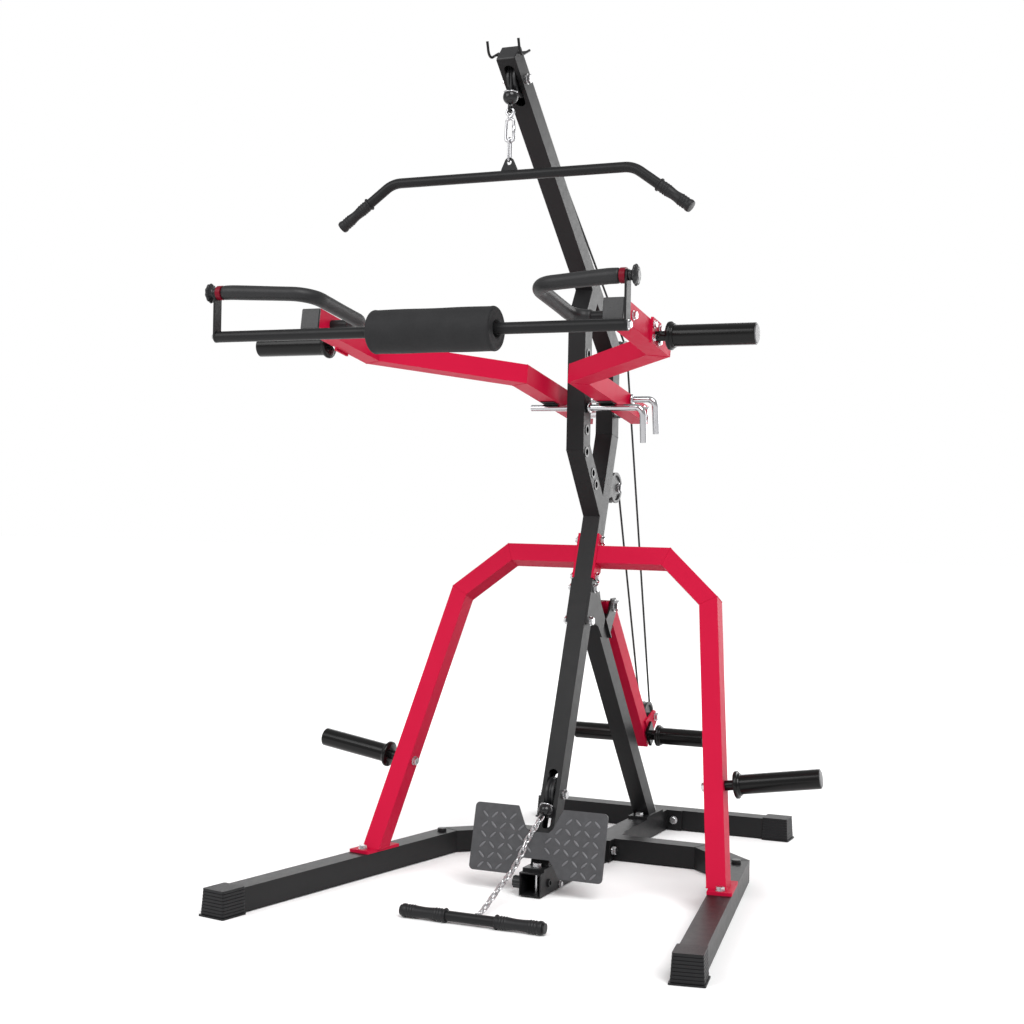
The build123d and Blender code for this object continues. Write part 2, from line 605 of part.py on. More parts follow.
def pulley(centre, hub):
    """A grooved cable pulley on a hub of the given half width."""
    rim = PULLEY_W / 2
    groove = CABLE_R + GAP
    outline = [(WRAP_R, groove), (PULLEY_R, groove + 2), (PULLEY_R, rim), (WEB_R[0], rim)]
    outline += [(WEB_R[1], WEB_HALF), (HUB_R, WEB_HALF), (HUB_R, hub), (AXLE_R + FIT, hub)]
    with BuildPart() as wheel:
        with BuildSketch(Plane.XZ):
            with BuildLine():
                Polyline(*outline, *[(r, -half) for r, half in outline[::-1]])
                CenterArc((WRAP_R, 0), groove, 90, 180)
            make_face()
        revolve(axis=Axis.Z)
    place = Location(Plane(origin=(0, *centre), x_dir=(0, 1, 0), z_dir=(1, 0, 0)))
    return place * wheel.part


save(pulley(TOP_PULLEY, TUBE_HUB), "top_pulley")
save(pulley(GUIDE_PULLEY, BRACKET_HUB), "guide_pulley")
save(pulley(LEVER_PULLEY, TUBE_HUB), "lever_pulley")
save(pulley(BACK_PULLEY, BRACKET_HUB), "back_pulley")
save(pulley(LOW_PULLEY, TUBE_HUB), "low_pulley")


def mast_back(z):
    """A point on the leaning mast's rear face, level with its centre line at a height."""
    return along(mast_at(z), (MAST_DIR[1], -MAST_DIR[0]), HALF)


MAST_REAR = KINK_LOW[0] + HALF  # rear face of the upright run
GUIDE_PLATE = [
    (MAST_REAR, 1392), (600, 1428), (622, 1430), (631, 1440), (631, 1452), (622, 1461), (600, 1461),
    (MAST_REAR, 1446),
]
BACK_PLATE = [
    mast_back(1036), (548, 1044), (566, 1046), (575, 1056), (575, 1068), (566, 1078), (548, 1082),
    mast_back(1112),
]
with BuildPart() as pulley_brackets:
    for outline, centre in ((GUIDE_PLATE, GUIDE_PULLEY), (BACK_PLATE, BACK_PULLEY)):
        add(yz_polygon(outline, BRACKET_IN, BRACKET_OUT))
        add(yz_polygon(outline, -BRACKET_OUT, -BRACKET_IN))
        add(x_hole(*centre, AXLE_R + FIT), mode=Mode.SUBTRACT)
save(pulley_brackets.part, "pulley_brackets")

with BuildPart() as frame_axles:
    add(cross_bolt(*TOP_PULLEY, HALF))
    add(cross_bolt(*LOW_PULLEY, HALF))
    add(cross_bolt(*GUIDE_PULLEY, BRACKET_OUT))
    add(cross_bolt(*BACK_PULLEY, BRACKET_OUT))
    add(cross_bolt(*LEVER_PIVOT, EAR_OUT, LEVER_BOLT))
save(frame_axles.part, "frame_axles")

# ---------------------------------------------------------------- weight lever
CHEEK = 5.0
LEVER_HORN = on_lever(524, -5)
LEVER_TOP_Z = 740.0
LEVER_SLOT = 30.0  # half the length of the slot that clears the pulley's rim
to_pulley = (LEVER_PULLEY[0] - LEVER_PIVOT[0], LEVER_PULLEY[1] - LEVER_PIVOT[1])
PULLEY_REACH = to_pulley[0] * LEVER_DIR[0] + to_pulley[1] * LEVER_DIR[1]
with BuildPart() as weight_lever:
    add(square_tube(Plane.YZ, [on_lever(-80), on_lever(LEVER_LENGTH)], HALF))
    add(slab((100, 300, 100), (0, LEVER_PIVOT[0], LEVER_TOP_Z + 50)), mode=Mode.SUBTRACT)
    slot_side = [
        on_lever(PULLEY_REACH - LEVER_SLOT, 0), on_lever(PULLEY_REACH + LEVER_SLOT, 0),
        on_lever(PULLEY_REACH + LEVER_SLOT, HALF + 5), on_lever(PULLEY_REACH - LEVER_SLOT, HALF + 5),
    ]
    add(yz_polygon(slot_side, -PULLEY_SLOT / 2, PULLEY_SLOT / 2), mode=Mode.SUBTRACT)
    hook = [on_lever(PULLEY_REACH - 50, 0), on_lever(PULLEY_REACH - 40, HALF)]
    hook += [on_lever(PULLEY_REACH - 22, 74), on_lever(PULLEY_REACH - 10, 84)]
    hook += [on_lever(PULLEY_REACH + 14, 84), on_lever(PULLEY_REACH + 24, 70)]
    hook += [on_lever(PULLEY_REACH + 26, HALF + 6), on_lever(LEVER_LENGTH - 4, HALF)]
    hook += [on_lever(LEVER_LENGTH - 4, 0)]
    add(yz_polygon(hook, HALF, HALF + CHEEK))
    add(yz_polygon(hook, -HALF - CHEEK, -HALF))
    add(x_hole(*LEVER_PULLEY, AXLE_R + FIT), mode=Mode.SUBTRACT)
    add(x_hole(*LEVER_PIVOT, LEVER_BOLT / 2 + FIT), mode=Mode.SUBTRACT)
save(weight_lever.part, "weight_lever")

with BuildPart() as lever_axle:
    add(cross_bolt(*LEVER_PULLEY, HALF + CHEEK))
save(lever_axle.part, "lever_axle")

LEVER_HORN_PLATE = 8.0
LEVER_HORN_END = 204.0
LEVER_HORN_NECK = 28.0
with BuildPart() as lever_horn:
    start_x = HALF + CHEEK
    corners = [on_lever(494, -23), on_lever(494, 23), on_lever(552, 23), on_lever(552, -23)]
    add(yz_polygon(corners, start_x, start_x + LEVER_HORN_PLATE))
    sleeve_length = LEVER_HORN_END - start_x - LEVER_HORN_NECK - FLANGE
    add(plate_horn((start_x, *LEVER_HORN), (1, 0, 0), LEVER_HORN_NECK, 15, 31, sleeve_length))
save(mirrored_pair(lever_horn.part), "lever_horns")

# ---------------------------------------------------------------- press arms
ARM_PLANE = Plane(
    origin=(0, *PIVOT), x_dir=(1, 0, 0), z_dir=(0, sin(radians(ARM_TILT)), cos(radians(ARM_TILT)))
)
ARM_RUN = [(ARM_X, 42), (ARM_X, -438), (ARM_OUT_X, -692), (ARM_OUT_X, -1006)]
PIVOT_R = 12.0
ARM_IN = ARM_X - HALF
ARM_OUT = ARM_X + HALF
OUTER_IN = ARM_OUT_X - HALF
OUTER_OUT = ARM_OUT_X + HALF
ARM_REAR_BOLTS = ((30.0, 14.0), (30.0, -14.0))
PRESS_U = 803.0
PRESS_W = -8.0
PRESS_PLATE = (58.0, 60.0)  # along the arm and across it
PRESS_BOLTS = [(reach, w) for reach in (-20.0, 20.0) for w in (14.0, -17.0)]
PRESS_NECK = 31.0
PRESS_SLEEVE = 197.0
M10 = 10.0
M8 = 8.0
HANDLE_W = 0.0
HANDLE_R = 12.5
FOAM_R = 16.5
HANDLE_RUN = [(480.4, -1232), (455, -1232), (272, -1195), (268, -948), (OUTER_IN, -948)]
HANDLE_BEND = (60.0, 60.0, 40.0)


def arm_rod(x_from, x_to, y, w, radius, bore=0.0):
    """A bar or a hole along X in the arms' own plane."""
    return ARM_PLANE.location * round_bar((x_from, y, w), (x_to, y, w), radius, bore)


with BuildPart() as press_arm:
    add(square_tube(ARM_PLANE, ARM_RUN, HALF))
    add(arm_rod(ARM_OUT, ARM_OUT + 4, -LINK_PIN_U, LINK_PIN_W, PIN_R + 6))
    add(ARM_PLANE.location * slab((PLATE, *PRESS_PLATE), (OUTER_OUT + PLATE / 2, -PRESS_U, 0)))
    add(arm_rod(ARM_IN - 5, ARM_OUT + 5, 0, 0, PIVOT_R + FIT), mode=Mode.SUBTRACT)
    add(arm_rod(ARM_IN - 5, ARM_OUT + 5, -LINK_PIN_U, LINK_PIN_W, PIN_R + FIT), mode=Mode.SUBTRACT)
    for y, w in ARM_REAR_BOLTS:
        add(arm_rod(ARM_OUT - 5, ARM_OUT + 5, y, w, M8 / 2 + FIT), mode=Mode.SUBTRACT)
    for reach, w in PRESS_BOLTS:
        add(arm_rod(OUTER_OUT - 5, OUTER_OUT + 10, reach - PRESS_U, w, M8 / 2 + FIT), mode=Mode.SUBTRACT)
    add(arm_rod(OUTER_OUT - 5, OUTER_OUT + 5, -948, HANDLE_W, M10 / 2 + FIT), mode=Mode.SUBTRACT)
both_sides(press_arm.part, "press_arm")

with BuildPart() as arm_end_cap:
    cap_plane = Plane(origin=(*ARM_RUN[3], 0), x_dir=(1, 0, 0), z_dir=(0, -1, 0))
    cap_at = ARM_PLANE.location * Location(cap_plane)
    with BuildPart(mode=Mode.PRIVATE) as cap_shape:
        with BuildSketch(Plane.XY):
            RectangleRounded(TUBE, TUBE, 3)
        extrude(amount=4)
        chamfer(cap_shape.faces().sort_by(Axis.Z)[-1].edges(), 2)
        with BuildSketch(Plane.XY):
            RectangleRounded(TUBE - 2 * WALL - 1, TUBE - 2 * WALL - 1, 2)
        extrude(amount=-15)
    add(cap_at * cap_shape.part)
both_sides(arm_end_cap.part, "arm_end_cap")

REST_Y = -216.9  # where the arms lie on the rest pin, along the arm
with BuildPart() as arm_rest:
    add(ARM_PLANE.location * slab((40, 60, 2.6), (ARM_X, REST_Y, -HALF - 1.3)))
both_sides(arm_rest.part, "arm_rest")

with BuildPart() as arm_bolts:
    for y, w in ARM_REAR_BOLTS:
        add(ARM_PLANE.location * hex_bolt((ARM_OUT, y, w), (1, 0, 0), M8, 5))
    for reach, w in PRESS_BOLTS:
        short_bolt = hex_bolt((OUTER_OUT + PLATE, reach - PRESS_U, w), (1, 0, 0), M8, PLATE + WALL + 2)
        add(ARM_PLANE.location * short_bolt)
    add(ARM_PLANE.location * hex_bolt((OUTER_OUT, -948, HANDLE_W), (1, 0, 0), M10, 5))
both_sides(arm_bolts.part, "arm_bolts")

with BuildPart() as press_horn:
    horn_start = (OUTER_OUT + PLATE, -PRESS_U, PRESS_W)
    horn_shape = plate_horn(horn_start, (1, 0, 0), PRESS_NECK, 12, 32, PRESS_SLEEVE)
    add(ARM_PLANE.location * horn_shape)
both_sides(press_horn.part, "press_horn")

with BuildPart() as arm_pivot_shaft:
    add(round_bar((-ARM_OUT, *PIVOT), (ARM_OUT, *PIVOT), PIVOT_R))
    for side in (-1, 1):
        add(round_bar((side * (HALF + 1), *PIVOT), (side * (ARM_IN - 1), *PIVOT), PIVOT_R + 6))
        add(round_bar((side * (ARM_OUT + 0.3), *PIVOT), (side * (ARM_OUT + 4), *PIVOT), 18))
        add(hex_bolt((side * (ARM_OUT + 3.5), *PIVOT), (side, 0, 0), 15, 3.5))
save(arm_pivot_shaft.part, "arm_pivot_shaft")

# ---------------------------------------------------------------- grips and the roller between them
LINK_X = (493.0, 498.0)
LINK_WIDTH = 26.0
STUD_R = 8.0
STUD_X = (HANDLE_RUN[0][0], 512.0)
ROLLER_DROP = 100.0
ROLLER_BAR_R = 12.7
ROLLER_R = 48.0
ROLLER_X = 58.0  # the foam sits off the middle of its bar
ROLLER_HALF = 147.0
handle_path = [(x, y, 0) for x, y in HANDLE_RUN]
handle_shift = ARM_PLANE.location * Location((0, 0, HANDLE_W))
grip_centre = handle_shift * Location((0, HANDLE_RUN[0][1], 0))
GRIP_AXIS = (grip_centre.position.Y, grip_centre.position.Z)
with BuildPart() as handle:
    add(handle_shift * swept_rod(handle_path, HANDLE_BEND, HANDLE_R))
    add(round_bar((STUD_X[0], *GRIP_AXIS), (STUD_X[1], *GRIP_AXIS), STUD_R))
both_sides(handle.part, "handle")

foam_path = [(479, -1232, 0)] + handle_path[1:4] + [(311, -948, 0)]
with BuildPart() as handle_foam:
    add(handle_shift * swept_rod(foam_path, HANDLE_BEND, FOAM_R, HANDLE_R + FIT))
both_sides(handle_foam.part, "handle_foam")

with BuildPart() as grip_collar:
    collar_ends = (STUD_X[0] + 0.3, LINK_X[0] - 0.3)
    add(round_bar((collar_ends[0], *GRIP_AXIS), (collar_ends[1], *GRIP_AXIS), FOAM_R, STUD_R + FIT))
save(mirrored_pair(grip_collar.part), "grip_collars")

ROLLER_AXIS = (GRIP_AXIS[0], GRIP_AXIS[1] - ROLLER_DROP)
with BuildPart() as roller_bar:
    add(round_bar((-LINK_X[1], *ROLLER_AXIS), (LINK_X[1], *ROLLER_AXIS), ROLLER_BAR_R))
    for side in (-1, 1):
        with BuildSketch(Plane.YZ.offset(side * LINK_X[0])):
            with Locations((GRIP_AXIS[0], GRIP_AXIS[1] - ROLLER_DROP / 2)):
                SlotCenterToCenter(ROLLER_DROP, LINK_WIDTH, rotation=90)
            with Locations(GRIP_AXIS):
                Circle(STUD_R + FIT, mode=Mode.SUBTRACT)
        extrude(amount=side * (LINK_X[1] - LINK_X[0]))
save(roller_bar.part, "roller_bar")

with BuildPart() as foam_roller:
    with BuildSketch(Plane.YZ.offset(ROLLER_X - ROLLER_HALF)):
        with Locations(ROLLER_AXIS):
            Circle(ROLLER_R)
            Circle(ROLLER_BAR_R + FIT, mode=Mode.SUBTRACT)
    extrude(amount=2 * ROLLER_HALF)
    fillet(foam_roller.edges().filter_by(GeomType.CIRCLE).filter_by(lambda e: e.radius > 40), 8)
save(foam_roller.part, "foam_roller")

# Half section of the mushroom knob: distance from its seat, and radius
KNOB_BORE = (14.2, STUD_R + FIT)
KNOB_OUTLINE = [
    (0, KNOB_BORE[1]), (0, 11), (4, 11), (5, 10), (8, 12), (13, 22.5), (15.5, 23), (18, 21), (20.5, 14),
    (21.5, 6), (21.8, 0), (KNOB_BORE[0], 0), KNOB_BORE,
]
knob_seat = (LINK_X[1] + 0.3, *GRIP_AXIS)
with BuildPart() as grip_knob:
    with BuildSketch(Plane(origin=knob_seat, x_dir=(1, 0, 0), z_dir=(0, -1, 0))):
        with BuildLine():
            Polyline(*KNOB_OUTLINE, close=True)
        make_face()
    revolve(axis=Axis(knob_seat, (1, 0, 0)))
both_sides(grip_knob.part, "grip_knob")

# ---------------------------------------------------------------- pins
PIN_HANDLE = 95.0
PIN_BEND = 20.0


def bent_pin(x_from, x_bend, centre, lean):
    """A pin along X with its handle bent down and back by a lean in degrees."""
    end = (centre[0] + PIN_HANDLE * sin(radians(lean)), centre[1] - PIN_HANDLE * cos(radians(lean)))
    return swept_rod([(x_from, *centre), (x_bend, *centre), (x_bend, *end)], PIN_BEND, PIN_R)


link_at = ARM_PLANE.from_local_coords(Vector(0, -LINK_PIN_U, LINK_PIN_W))
save(bent_pin(-139, 183, REST_PIN, 7), "rest_pin")
save(bent_pin(-115, 181, (link_at.Y, link_at.Z), 10), "link_pin")

# ---------------------------------------------------------------- cable
BALL_R = 19.0
LAT_BALL = (LAT_Y, 2000.0)
ROW_BALL_R = 19.0
ROW_BALL = (97.0, 209.0)
CABLE_PLAY = 0.3


def cable_line(start, start_turn, end, end_turn):
    """Start and direction of the straight run between two pulleys; +1 turns anticlockwise from the right."""
    offset = complex(end[0] - start[0], end[1] - start[1])
    sideways = WRAP_R * (end_turn - start_turn)
    run = (abs(offset) ** 2 - sideways ** 2) ** 0.5
    direction = offset / complex(run, sideways)
    point = complex(*start) - start_turn * WRAP_R * direction * 1j
    return (point.real, point.imag), (direction.real, direction.imag)


def crossing(line_a, line_b):
    """Where two straight runs would meet."""
    (ax, ay), (adx, ady) = line_a
    (bx, by), (bdx, bdy) = line_b
    reach = ((bx - ax) * bdy - (by - ay) * bdx) / (adx * bdy - ady * bdx)
    return (ax + adx * reach, ay + ady * reach)


ROUND = [(TOP_PULLEY, -1), (GUIDE_PULLEY, -1), (LEVER_PULLEY, -1), (BACK_PULLEY, 1), (LOW_PULLEY, -1)]
cable_runs = [((LAT_Y, LAT_BALL[1]), (0.0, 1.0))]
for (start, start_turn), (end, end_turn) in zip(ROUND, ROUND[1:]):
    cable_runs.append(cable_line(start, start_turn, end, end_turn))
ball_offset = complex(LOW_PULLEY[0] - ROW_BALL[0], LOW_PULLEY[1] - ROW_BALL[1])
ball_run = (abs(ball_offset) ** 2 - WRAP_R ** 2) ** 0.5
to_ball = -ball_offset * complex(ball_run, -WRAP_R) / abs(ball_offset) ** 2
cable_runs.append((ROW_BALL, (to_ball.real, to_ball.imag)))
cable_start = (LAT_Y, LAT_BALL[1] + BALL_R + CABLE_PLAY)
cable_end = along(ROW_BALL, cable_runs[-1][1], -ROW_BALL_R - CABLE_PLAY)
cable_corners = [crossing(a, b) for a, b in zip(cable_runs, cable_runs[1:])]
cable_path = [(0, *point) for point in [cable_start, *cable_corners, cable_end]]
with BuildPart() as cable:
    add(swept_rod(cable_path, [WRAP_R] * len(ROUND), CABLE_R))
save(cable.part, "cable")

# ---------------------------------------------------------------- lat station
WIRE_R = 3.5
RING_PLAY = 0.6


def rod_ring(plane, length, width, wire):
    """A closed ring of round rod, long along the plane's x; length and width are of its centre line."""
    straight = (length - width) / 2
    with BuildPart() as ring:
        for side in (-1, 1):
            if straight > 0:
                with BuildSketch(Plane.YZ.offset(-straight)):
                    with Locations((side * width / 2, 0)):
                        Circle(wire)
                extrude(amount=2 * straight)
            with BuildSketch(Plane.YZ.offset(side * straight)):
                with Locations((side * width / 2, 0)):
                    Circle(wire)
            revolve(axis=Axis((side * straight, 0, 0), (0, 0, 1)), revolution_arc=-180)
    return plane.location * ring.part


def hanging_ring(top, bottom, width, across, wire=WIRE_R):
    """An upright ring; across is the direction its flat side faces."""
    plane = Plane(origin=(0, LAT_Y, (top + bottom) / 2), x_dir=(0, 0, 1), z_dir=across)
    return rod_ring(plane, top - bottom, width, wire)


LAT_EYE = (1982.0, 1964.0)  # centre lines of the rings, top and bottom
RING_STEP = 2 * WIRE_R + RING_PLAY
CARABINER = (LAT_EYE[1] + RING_STEP, 1892.0)
LAT_LINK = (CARABINER[1] + RING_STEP, 1843.0)
STOP_WASHER = (17.0, 2.0, 11.0)  # radius, thickness and height above the ball's centre
with BuildPart() as lat_stop:
    with Locations((0, *LAT_BALL)):
        Sphere(BALL_R)
    washer_low = LAT_BALL[1] + STOP_WASHER[2]
    add(round_bar((0, LAT_Y, washer_low), (0, LAT_Y, washer_low + STOP_WASHER[1]), STOP_WASHER[0]))
    add(hanging_ring(*LAT_EYE, 16, (1, 0, 0)))
save(lat_stop.part, "lat_stop")

with BuildPart() as lat_carabiner:
    add(hanging_ring(*CARABINER, 22, (0, 1, 0)))
link_ring = hanging_ring(*LAT_LINK, 18, (1, 0, 0))
save(Part(Compound([lat_carabiner.part.solids()[0], link_ring.solids()[0]]).wrapped), "lat_carabiner")

LAT_END = (463.0, 1707.0)
LAT_SHOULDER = 320.5
LAT_BEND = 70.0
LAT_WALL = 3.0
HANGER_THICK = 5.0
HANGER_HALF = 21.0
HANGER_LOW = LAT_BAR_Z + 10.5  # the plate is welded into the bar's upper side
HANGER_HOLE = (LAT_LINK[1] - 2.4, 6.5)  # height and radius
HANGER_EYE_R = 12.0
with BuildPart() as lat_bar:
    lat_route = [(-LAT_END[0], LAT_Y, LAT_END[1]), (-LAT_SHOULDER, LAT_Y, LAT_BAR_Z)]
    lat_route += [(LAT_SHOULDER, LAT_Y, LAT_BAR_Z), (LAT_END[0], LAT_Y, LAT_END[1])]
    add(swept_rod(lat_route, LAT_BEND, BAR_R, BAR_R - LAT_WALL))
    with BuildSketch(Plane.XZ.offset(-LAT_Y)):
        with BuildLine():
            hanger = [(HANGER_HALF, HANGER_LOW), (HANGER_HALF, HANGER_LOW + 4), (11.3, HANGER_HOLE[0] + 4)]
            Polyline(*hanger, *[(-x, z) for x, z in hanger[::-1]], close=True)
        make_face()
        with Locations((0, HANGER_HOLE[0])):
            Circle(HANGER_EYE_R)
            Circle(HANGER_HOLE[1], mode=Mode.SUBTRACT)
    extrude(amount=HANGER_THICK / 2, both=True)
save(lat_bar.part, "lat_bar")

LAT_GRIP = 96.0
GRIP_R = 15.0
grip_dir = (unit((LAT_SHOULDER, LAT_BAR_Z), LAT_END)[0], 0, unit((LAT_SHOULDER, LAT_BAR_Z), LAT_END)[1])
grip_end = Vector(LAT_END[0], LAT_Y, LAT_END[1])
with BuildPart() as lat_grip:
    add(round_bar(grip_end - Vector(*grip_dir) * LAT_GRIP, grip_end + Vector(*grip_dir) * 4, GRIP_R))
    add(round_bar(grip_end - Vector(*grip_dir) * (LAT_GRIP + 1), grip_end, BAR_R + FIT), mode=Mode.SUBTRACT)
save(mirrored_pair(lat_grip.part), "lat_grips")

# ---------------------------------------------------------------- row station
CHAIN_WIRE = 2.6
CHAIN_PLAY = 0.5
CHAIN_WIDTH = 12.0
CHAIN_LINKS = 19
ROW_BAR_AT = (-12.0, -320.0, 17.0)
ROW_BAR_HALF = 190.0
ROW_GRIP_R = 16.5
ROW_GRIPS = ((-199.0, -79.0), (50.0, 174.0))
row_eye_dir = unit(ROW_BALL, (67.0, 194.0))
eye_far = along(ROW_BALL, row_eye_dir, 30.0)
chain_start = along(eye_far, row_eye_dir, -CHAIN_WIRE - CHAIN_PLAY)
bar_eye_y = ROW_BAR_AT[1] + BAR_R + 14.0
CHAIN_ROUTE = [
    (0, *chain_start), (0, -23, 153), (-1, -47, 127), (-3, -102, 92), (-7, -165, 65),
    (-14, -262, 18), (ROW_BAR_AT[0], bar_eye_y - CHAIN_WIRE - CHAIN_PLAY, ROW_BAR_AT[2]),
]


def ring_along(start, end, turned, width=CHAIN_WIDTH, wire=CHAIN_WIRE):
    """A chain ring from joint to joint, lying flat or turned a quarter."""
    a, b = Vector(*start), Vector(*end)
    along_x = (b - a).normalized()
    sideways = Vector(0, 0, 1).cross(along_x).normalized()
    flat_normal = along_x.cross(sideways)
    plane = Plane(origin=(a + b) * 0.5, x_dir=along_x, z_dir=sideways if turned else flat_normal)
    return rod_ring(plane, (b - a).length + 2 * (wire + CHAIN_PLAY), width, wire)


with BuildLine() as chain_line:
    Polyline(*CHAIN_ROUTE)
joints = [chain_line.line @ (i / CHAIN_LINKS) for i in range(CHAIN_LINKS + 1)]
rings = []
for i, (start, end) in enumerate(zip(joints, joints[1:])):
    rings.append(ring_along(tuple(start), tuple(end), i % 2 == 1).solids()[0])
save(Part(Compound(rings).wrapped), "row_chain")

with BuildPart() as row_stop:
    with Locations((0, *ROW_BALL)):
        Sphere(ROW_BALL_R)
    eye_mid = along(ROW_BALL, row_eye_dir, 23.0)
    eye_at = Plane(origin=(0, *eye_mid), x_dir=(0, *row_eye_dir), z_dir=(1, 0, 0))
    add(rod_ring(eye_at, 14, CHAIN_WIDTH, CHAIN_WIRE))
save(row_stop.part, "row_stop")

x0, y0, z0 = ROW_BAR_AT
with BuildPart() as row_bar:
    add(round_bar((x0 - ROW_BAR_HALF, y0, z0), (x0 + ROW_BAR_HALF, y0, z0), BAR_R))
    eye_plane = Plane(origin=(x0, y0 + BAR_R + 5, z0), x_dir=(0, 1, 0), z_dir=(1, 0, 0))
    add(rod_ring(eye_plane, 18, CHAIN_WIDTH, CHAIN_WIRE))
save(row_bar.part, "row_bar")

row_grips = []
for low, high in ROW_GRIPS:
    sleeve = round_bar((low, y0, z0), (high, y0, z0), ROW_GRIP_R, BAR_R + FIT)
    row_grips.append(sleeve.solids()[0])
save(Part(Compound(row_grips).wrapped), "row_grips")

# ---------------------------------------------------------------- bolts and the front knob
with BuildPart() as receiver_knob:
    stem_ends = (-BASE_HALF - 1, -BASE_HALF + WALL)
    stem = [(x, LOCK_KNOB_Y, BASE_MID) for x in stem_ends]
    add(round_bar(*stem, KNOB_STEM_R))
    with BuildSketch(Plane.YZ.offset(-BASE_HALF - 1)):
        with Locations((LOCK_KNOB_Y, BASE_MID)):
            Circle(16)
            with PolarLocations(18, 8):
                Circle(4, mode=Mode.SUBTRACT)
    extrude(amount=-22)
save(receiver_knob.part, "receiver_knob")

through_wall = FLANGE + WALL
bolts = []
for height in ARCH_BOLTS_Z + STRUT_PLATE_BOLTS_Z + (FOOT_PLATE_BOLT_Z,):
    bolts.append(cross_bolt(*mast_at(height), SIDE_PLATE_X))
for x, y in [(0, MAST_BOLTS_Y[1]), (0, STRUT_BOLTS_Y[0]), (0, STRUT_BOLTS_Y[1])]:
    bolts.append(hex_bolt((x, y, BASE_TOP + FLANGE), (0, 0, 1), M12, through_wall + 2))
bolts.append(hex_bolt((0, RECEIVER_BOLT_Y, BASE_TOP + FLANGE), (0, 0, 1), M12, BASE + FLANGE))
for y in LEG_BOLTS_Y:
    for side in (-1, 1):
        bolts.append(hex_bolt((side * (BASE_HALF + FLANGE + WALL), y, BASE_MID), (side, 0, 0), M12, 20))
for side in (-1, 1):
    bolts.append(hex_bolt((side * REAR_BOLT_X, BEAM_LENGTH, BASE_MID), (0, -1, 0), M12, through_wall + 2))
    for x, y in FOOT_BOLT_POINTS:
        bolts.append(hex_bolt((side * x, y, BASE_TOP + FLANGE), (0, 0, 1), M12, through_wall + 2))
    inner = Vector(side * storage_inner.X, storage_inner.Y, storage_inner.Z)
    inner_axis = Vector(-side * storage_axis.X, -storage_axis.Y, -storage_axis.Z)
    bolts.append(hex_bolt(tuple(inner), tuple(inner_axis), M12, 5))
bolts.append(hex_bolt((BASE_HALF, *STOP_SCREW), (1, 0, 0), 8, 5))
save(Part(Compound([solid for bolt in bolts for solid in bolt.solids()]).wrapped), "frame_bolts")
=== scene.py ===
"""Finishes and fine detail for a plate loaded multi station home gym, laid on its CAD frame.

Every piece is measured in metres in the frame's own axes: X right, Y back, Z up.
"""

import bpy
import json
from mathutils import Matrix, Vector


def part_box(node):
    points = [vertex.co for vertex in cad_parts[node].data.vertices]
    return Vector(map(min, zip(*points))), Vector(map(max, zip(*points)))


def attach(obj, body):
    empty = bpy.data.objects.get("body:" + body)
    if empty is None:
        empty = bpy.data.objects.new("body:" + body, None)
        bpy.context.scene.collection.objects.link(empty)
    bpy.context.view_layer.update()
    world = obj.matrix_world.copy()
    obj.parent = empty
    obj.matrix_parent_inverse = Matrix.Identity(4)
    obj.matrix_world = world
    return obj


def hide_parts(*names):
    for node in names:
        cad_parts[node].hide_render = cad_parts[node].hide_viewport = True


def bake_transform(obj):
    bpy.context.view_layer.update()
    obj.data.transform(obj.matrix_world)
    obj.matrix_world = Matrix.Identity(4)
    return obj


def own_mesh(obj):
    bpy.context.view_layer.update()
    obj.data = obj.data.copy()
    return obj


bl_info = {
    "name": "Multi Station Home Gym",
    "version": (1, 0, 0),
    "blender": (4, 5, 0),
    "location": "View3D > Sidebar > Home Gym",
    "description": "Paints, grips, foam, cable and small fittings of a plate loaded home gym",
    "category": "Object",
}

import json
import math

import bpy
import numpy as np
from bpy.props import FloatProperty, FloatVectorProperty, PointerProperty
from mathutils import Matrix

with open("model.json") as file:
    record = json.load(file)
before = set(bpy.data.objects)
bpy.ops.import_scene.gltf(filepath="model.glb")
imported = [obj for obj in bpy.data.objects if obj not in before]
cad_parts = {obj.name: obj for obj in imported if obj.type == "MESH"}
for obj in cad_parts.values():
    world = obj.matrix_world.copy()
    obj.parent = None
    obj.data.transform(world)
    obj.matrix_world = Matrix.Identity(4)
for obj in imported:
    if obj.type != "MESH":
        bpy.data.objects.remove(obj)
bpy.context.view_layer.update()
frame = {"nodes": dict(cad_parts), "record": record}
CAD_NODES = frame["nodes"]

# ---------------------------------------------------------------- sizes of the frame, in metres
HALF = 0.025
BASE_HALF = 0.030
ARM_TILT = math.radians(9.3)
PIVOT = np.array([0.0, 0.500, 1.2755])
MAST_LINE = [(0.088, 0.071), (0.500, 1.208), (0.500, 1.455), (-0.228, 2.102)]
POST_LINE = [(0.440, 0.9556), (0.280, 1.166), (0.280, 1.514), (0.350, 1.6265)]
ARCH_ORIGIN = np.array([0.0, 0.0589, 0.066])
ARCH_UP = np.array([0.0, 0.3714, 0.9285])
ARCH_LINE = [(0.031, 0.862), (0.231, 0.862), (0.365, 0.742), (0.489, -0.040)]
LEG_LINE = [(0.038, 0.549), (0.289, 0.549), (0.430, 0.415), (0.5947, -0.541)]
ARM_LINE = [(0.083, 0.042), (0.083, -0.438), (0.383, -0.692), (0.383, -1.006)]
GRIP_LINE = [(0.479, -1.232), (0.455, -1.232), (0.272, -1.195), (0.268, -0.948), (0.311, -0.948)]
GRIP_BENDS = (0.060, 0.060, 0.040)
FLANGE_TOP = 0.071

